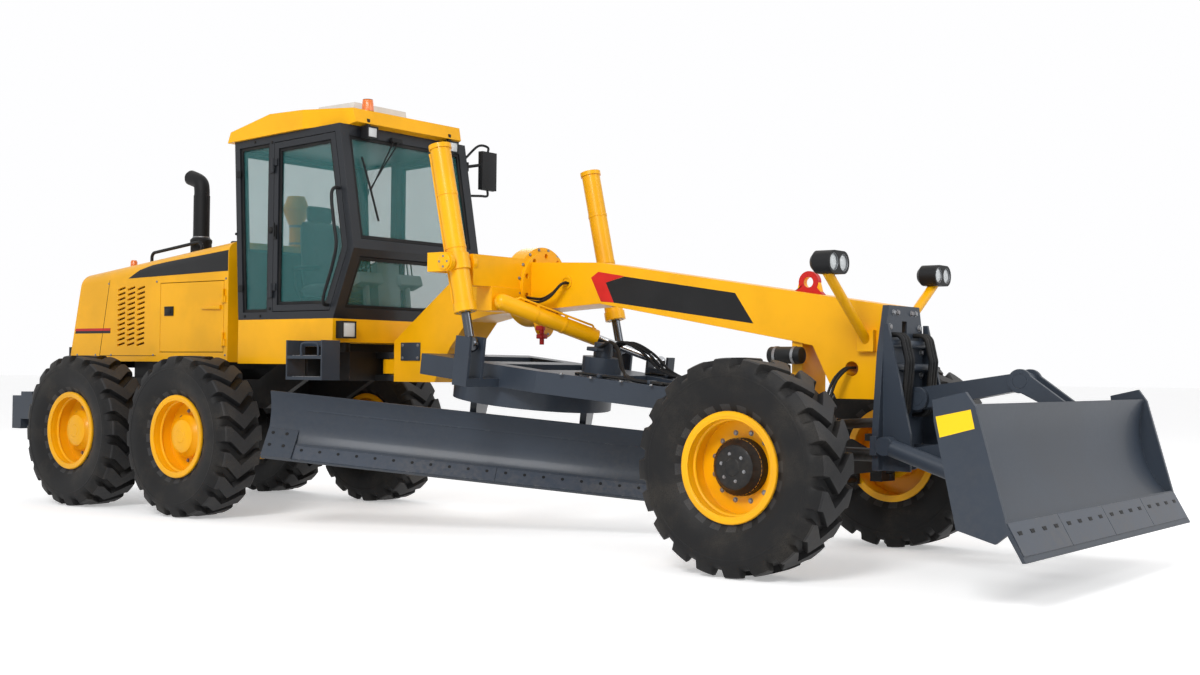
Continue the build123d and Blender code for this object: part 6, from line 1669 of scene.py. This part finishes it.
@dataclass
class Studio:
    """Floor, light and camera."""

    eye: Vector = field(default_factory=lambda: at(11.129, -8.912, 1.262))
    yaw: float = 0.657
    pitch: float = -0.022
    roll: float = 0.010
    focal: float = 1485.8
    width: float = 1200.0
    sensor: float = 36.0
    ambient: float = 0.60
    floor_lift: float = 0.36
    floor_half: float = 150.0
    aim: tuple[float, float, float] = (0.0, 0.0, 1.2)
    lamps: tuple[tuple[str, tuple[float, float, float], float, float], ...] = (
        ("key", (6.0, -14.0, 11.0), 5.0, 1700.0), ("front", (13.0, 3.0, 7.0), 5.0, 350.0),
        ("rear", (-11.0, 9.0, 9.0), 6.0, 350.0))

    def camera(self) -> None:
        """Set the camera where the photograph was taken from."""
        yaw, pitch, roll = self.yaw, self.pitch, self.roll
        ahead = Vector((-math.sin(yaw) * math.cos(pitch), math.cos(yaw) * math.cos(pitch), -math.sin(pitch)))
        right = Vector((math.cos(yaw), math.sin(yaw), 0.0))
        up = right.cross(ahead)
        level = math.cos(roll) * right + math.sin(roll) * up
        tall = -math.sin(roll) * right + math.cos(roll) * up
        data = bpy.data.cameras.new("camera")
        data.sensor_fit = "HORIZONTAL"
        data.sensor_width = self.sensor
        data.lens = self.focal / self.width * self.sensor
        data.clip_end = 500.0
        viewer = bpy.data.objects.new("camera", data)
        turn = Matrix((level, tall, -ahead)).transposed().to_4x4()
        viewer.matrix_world = Matrix.Translation(self.eye) @ turn
        bpy.context.scene.collection.objects.link(viewer)
        bpy.context.scene.camera = viewer

    def floor(self) -> None:
        """Lay a wide pale floor."""
        bench = Bench(bpy.data.materials.new("studio_floor"))
        grain = bench.noise(0.6, 4.0)
        colour = bench.mix(grain, srgb(247, 247, 247), srgb(243, 243, 243))
        white = (1.0, 1.0, 1.0)
        lift = bench.mix(bench.seen(), scaled(white, 0.0), scaled(white, self.floor_lift))
        bench.set(Base_Color=colour, Roughness=0.9, Emission_Color=lift, Emission_Strength=1.0)
        mesh = bmesh.new()
        bmesh.ops.create_grid(mesh, x_segments=2, y_segments=2, size=self.floor_half)
        data = bpy.data.meshes.new("floor")
        mesh.to_mesh(data)
        mesh.free()
        data.materials.append(bench.owner)
        floor = bpy.data.objects.new("floor", data)
        bpy.context.scene.collection.objects.link(floor)

    def lamp(self, name: str, place: Point, size: float, power: float) -> None:
        """Hang a square soft light that faces the machine.

        Args:
            name: Lamp name.
            place: Where it hangs.
            size: Side length.
            power: Power in watts.
        """
        data = bpy.data.lights.new(name, "AREA")
        data.shape = "SQUARE"
        data.size = size
        data.energy = power
        light = bpy.data.objects.new(name, data)
        light.location = place
        light.rotation_euler = (Vector(self.aim) - Vector(place)).to_track_quat("-Z", "Y").to_euler()
        bpy.context.scene.collection.objects.link(light)

    def light(self) -> None:
        """Set the world and the soft lamps."""
        bench = Bench(bpy.data.worlds.new("studio_world"), "Background")
        bench.set(Color=srgb(254, 254, 255), Strength=self.ambient + bench.seen() * (1 - self.ambient))
        bpy.context.scene.world = bench.owner
        for lamp in self.lamps:
            self.lamp(*lamp)

    def build(self) -> None:
        """Set up the whole studio."""
        self.camera()
        self.floor()
        self.light()
        bpy.context.scene.view_settings.view_transform = "Standard"


@dataclass
class Coats:
    """Finishes of the CAD nodes."""

    plan: dict[Finish, tuple[str, ...]] = field(default_factory=lambda: {
        Finish.YELLOW: ("hood", "engine_door_left", "engine_door_right", "air_cleaner", "cab_base", "cab_roof",
                        "gooseneck", "saddle", "lift_barrels", "shift_barrel", "lamp_posts"),
        Finish.CHASSIS: ("rear_frame", "tandem_drive", "engine_block", "front_axle", "knuckle_left",
                         "knuckle_right", "tie_rod"),
        Finish.SLATE: ("rear_beam", "drawbar", "circle", "moldboard", "dozer_bracket", "dozer_links",
                       "dozer_top_link", "steps", "ram_barrels"),
        Finish.DOZER: ("dozer_blade",),
        Finish.CAB: ("cab_frame", "cab_door_left", "cab_door_right"),
        Finish.STACK: ("exhaust",),
        Finish.BLACK: ("hood_rails", "mirror_arm", "cab_lamps", "lamp_pods"),
        Finish.HOSE: ("hydraulic_hoses",),
        Finish.TRIM: ("console",),
        Finish.WHITE: ("roof_unit",),
        Finish.CLOTH: ("seat",),
        Finish.GLASS: ("cab_glass", "door_glass_left", "door_glass_right"),
        Finish.CHROME: ("shift_rod", "ram_rods"),
        # Lift rods in darkened chrome, a painted reflection.
        Finish.ROD_PAINTED_REFLECTION: ("lift_rods",),
        Finish.RIM: tuple(f"{row}_{side}_rim" for row in ("mid", "rear", "front") for side, _ in SIDES),
        Finish.TYRE: tuple(f"{row}_{side}_tyre" for row in ("mid", "rear", "front") for side, _ in SIDES),
    })

    def build(self) -> None:
        """Coat every CAD node."""
        for finish, nodes in self.plan.items():
            PALETTE.coat(nodes, finish)


def main() -> None:
    """Dress the grader and set up its studio."""
    logging.basicConfig(level=logging.INFO, format="%(name)s: %(message)s")
    for assembly in (Studio(), Coats(), Wheels(), HoodTrim(), CabTrim(), Seat(), StepTrim(), BeamTrim(), SaddleTrim(),
                     CylinderTrim(), BladeTrim(), DozerTrim()):
        assembly.build()
        LOG.info("built %s", type(assembly).__name__)


if __name__ == "__main__":
    main()
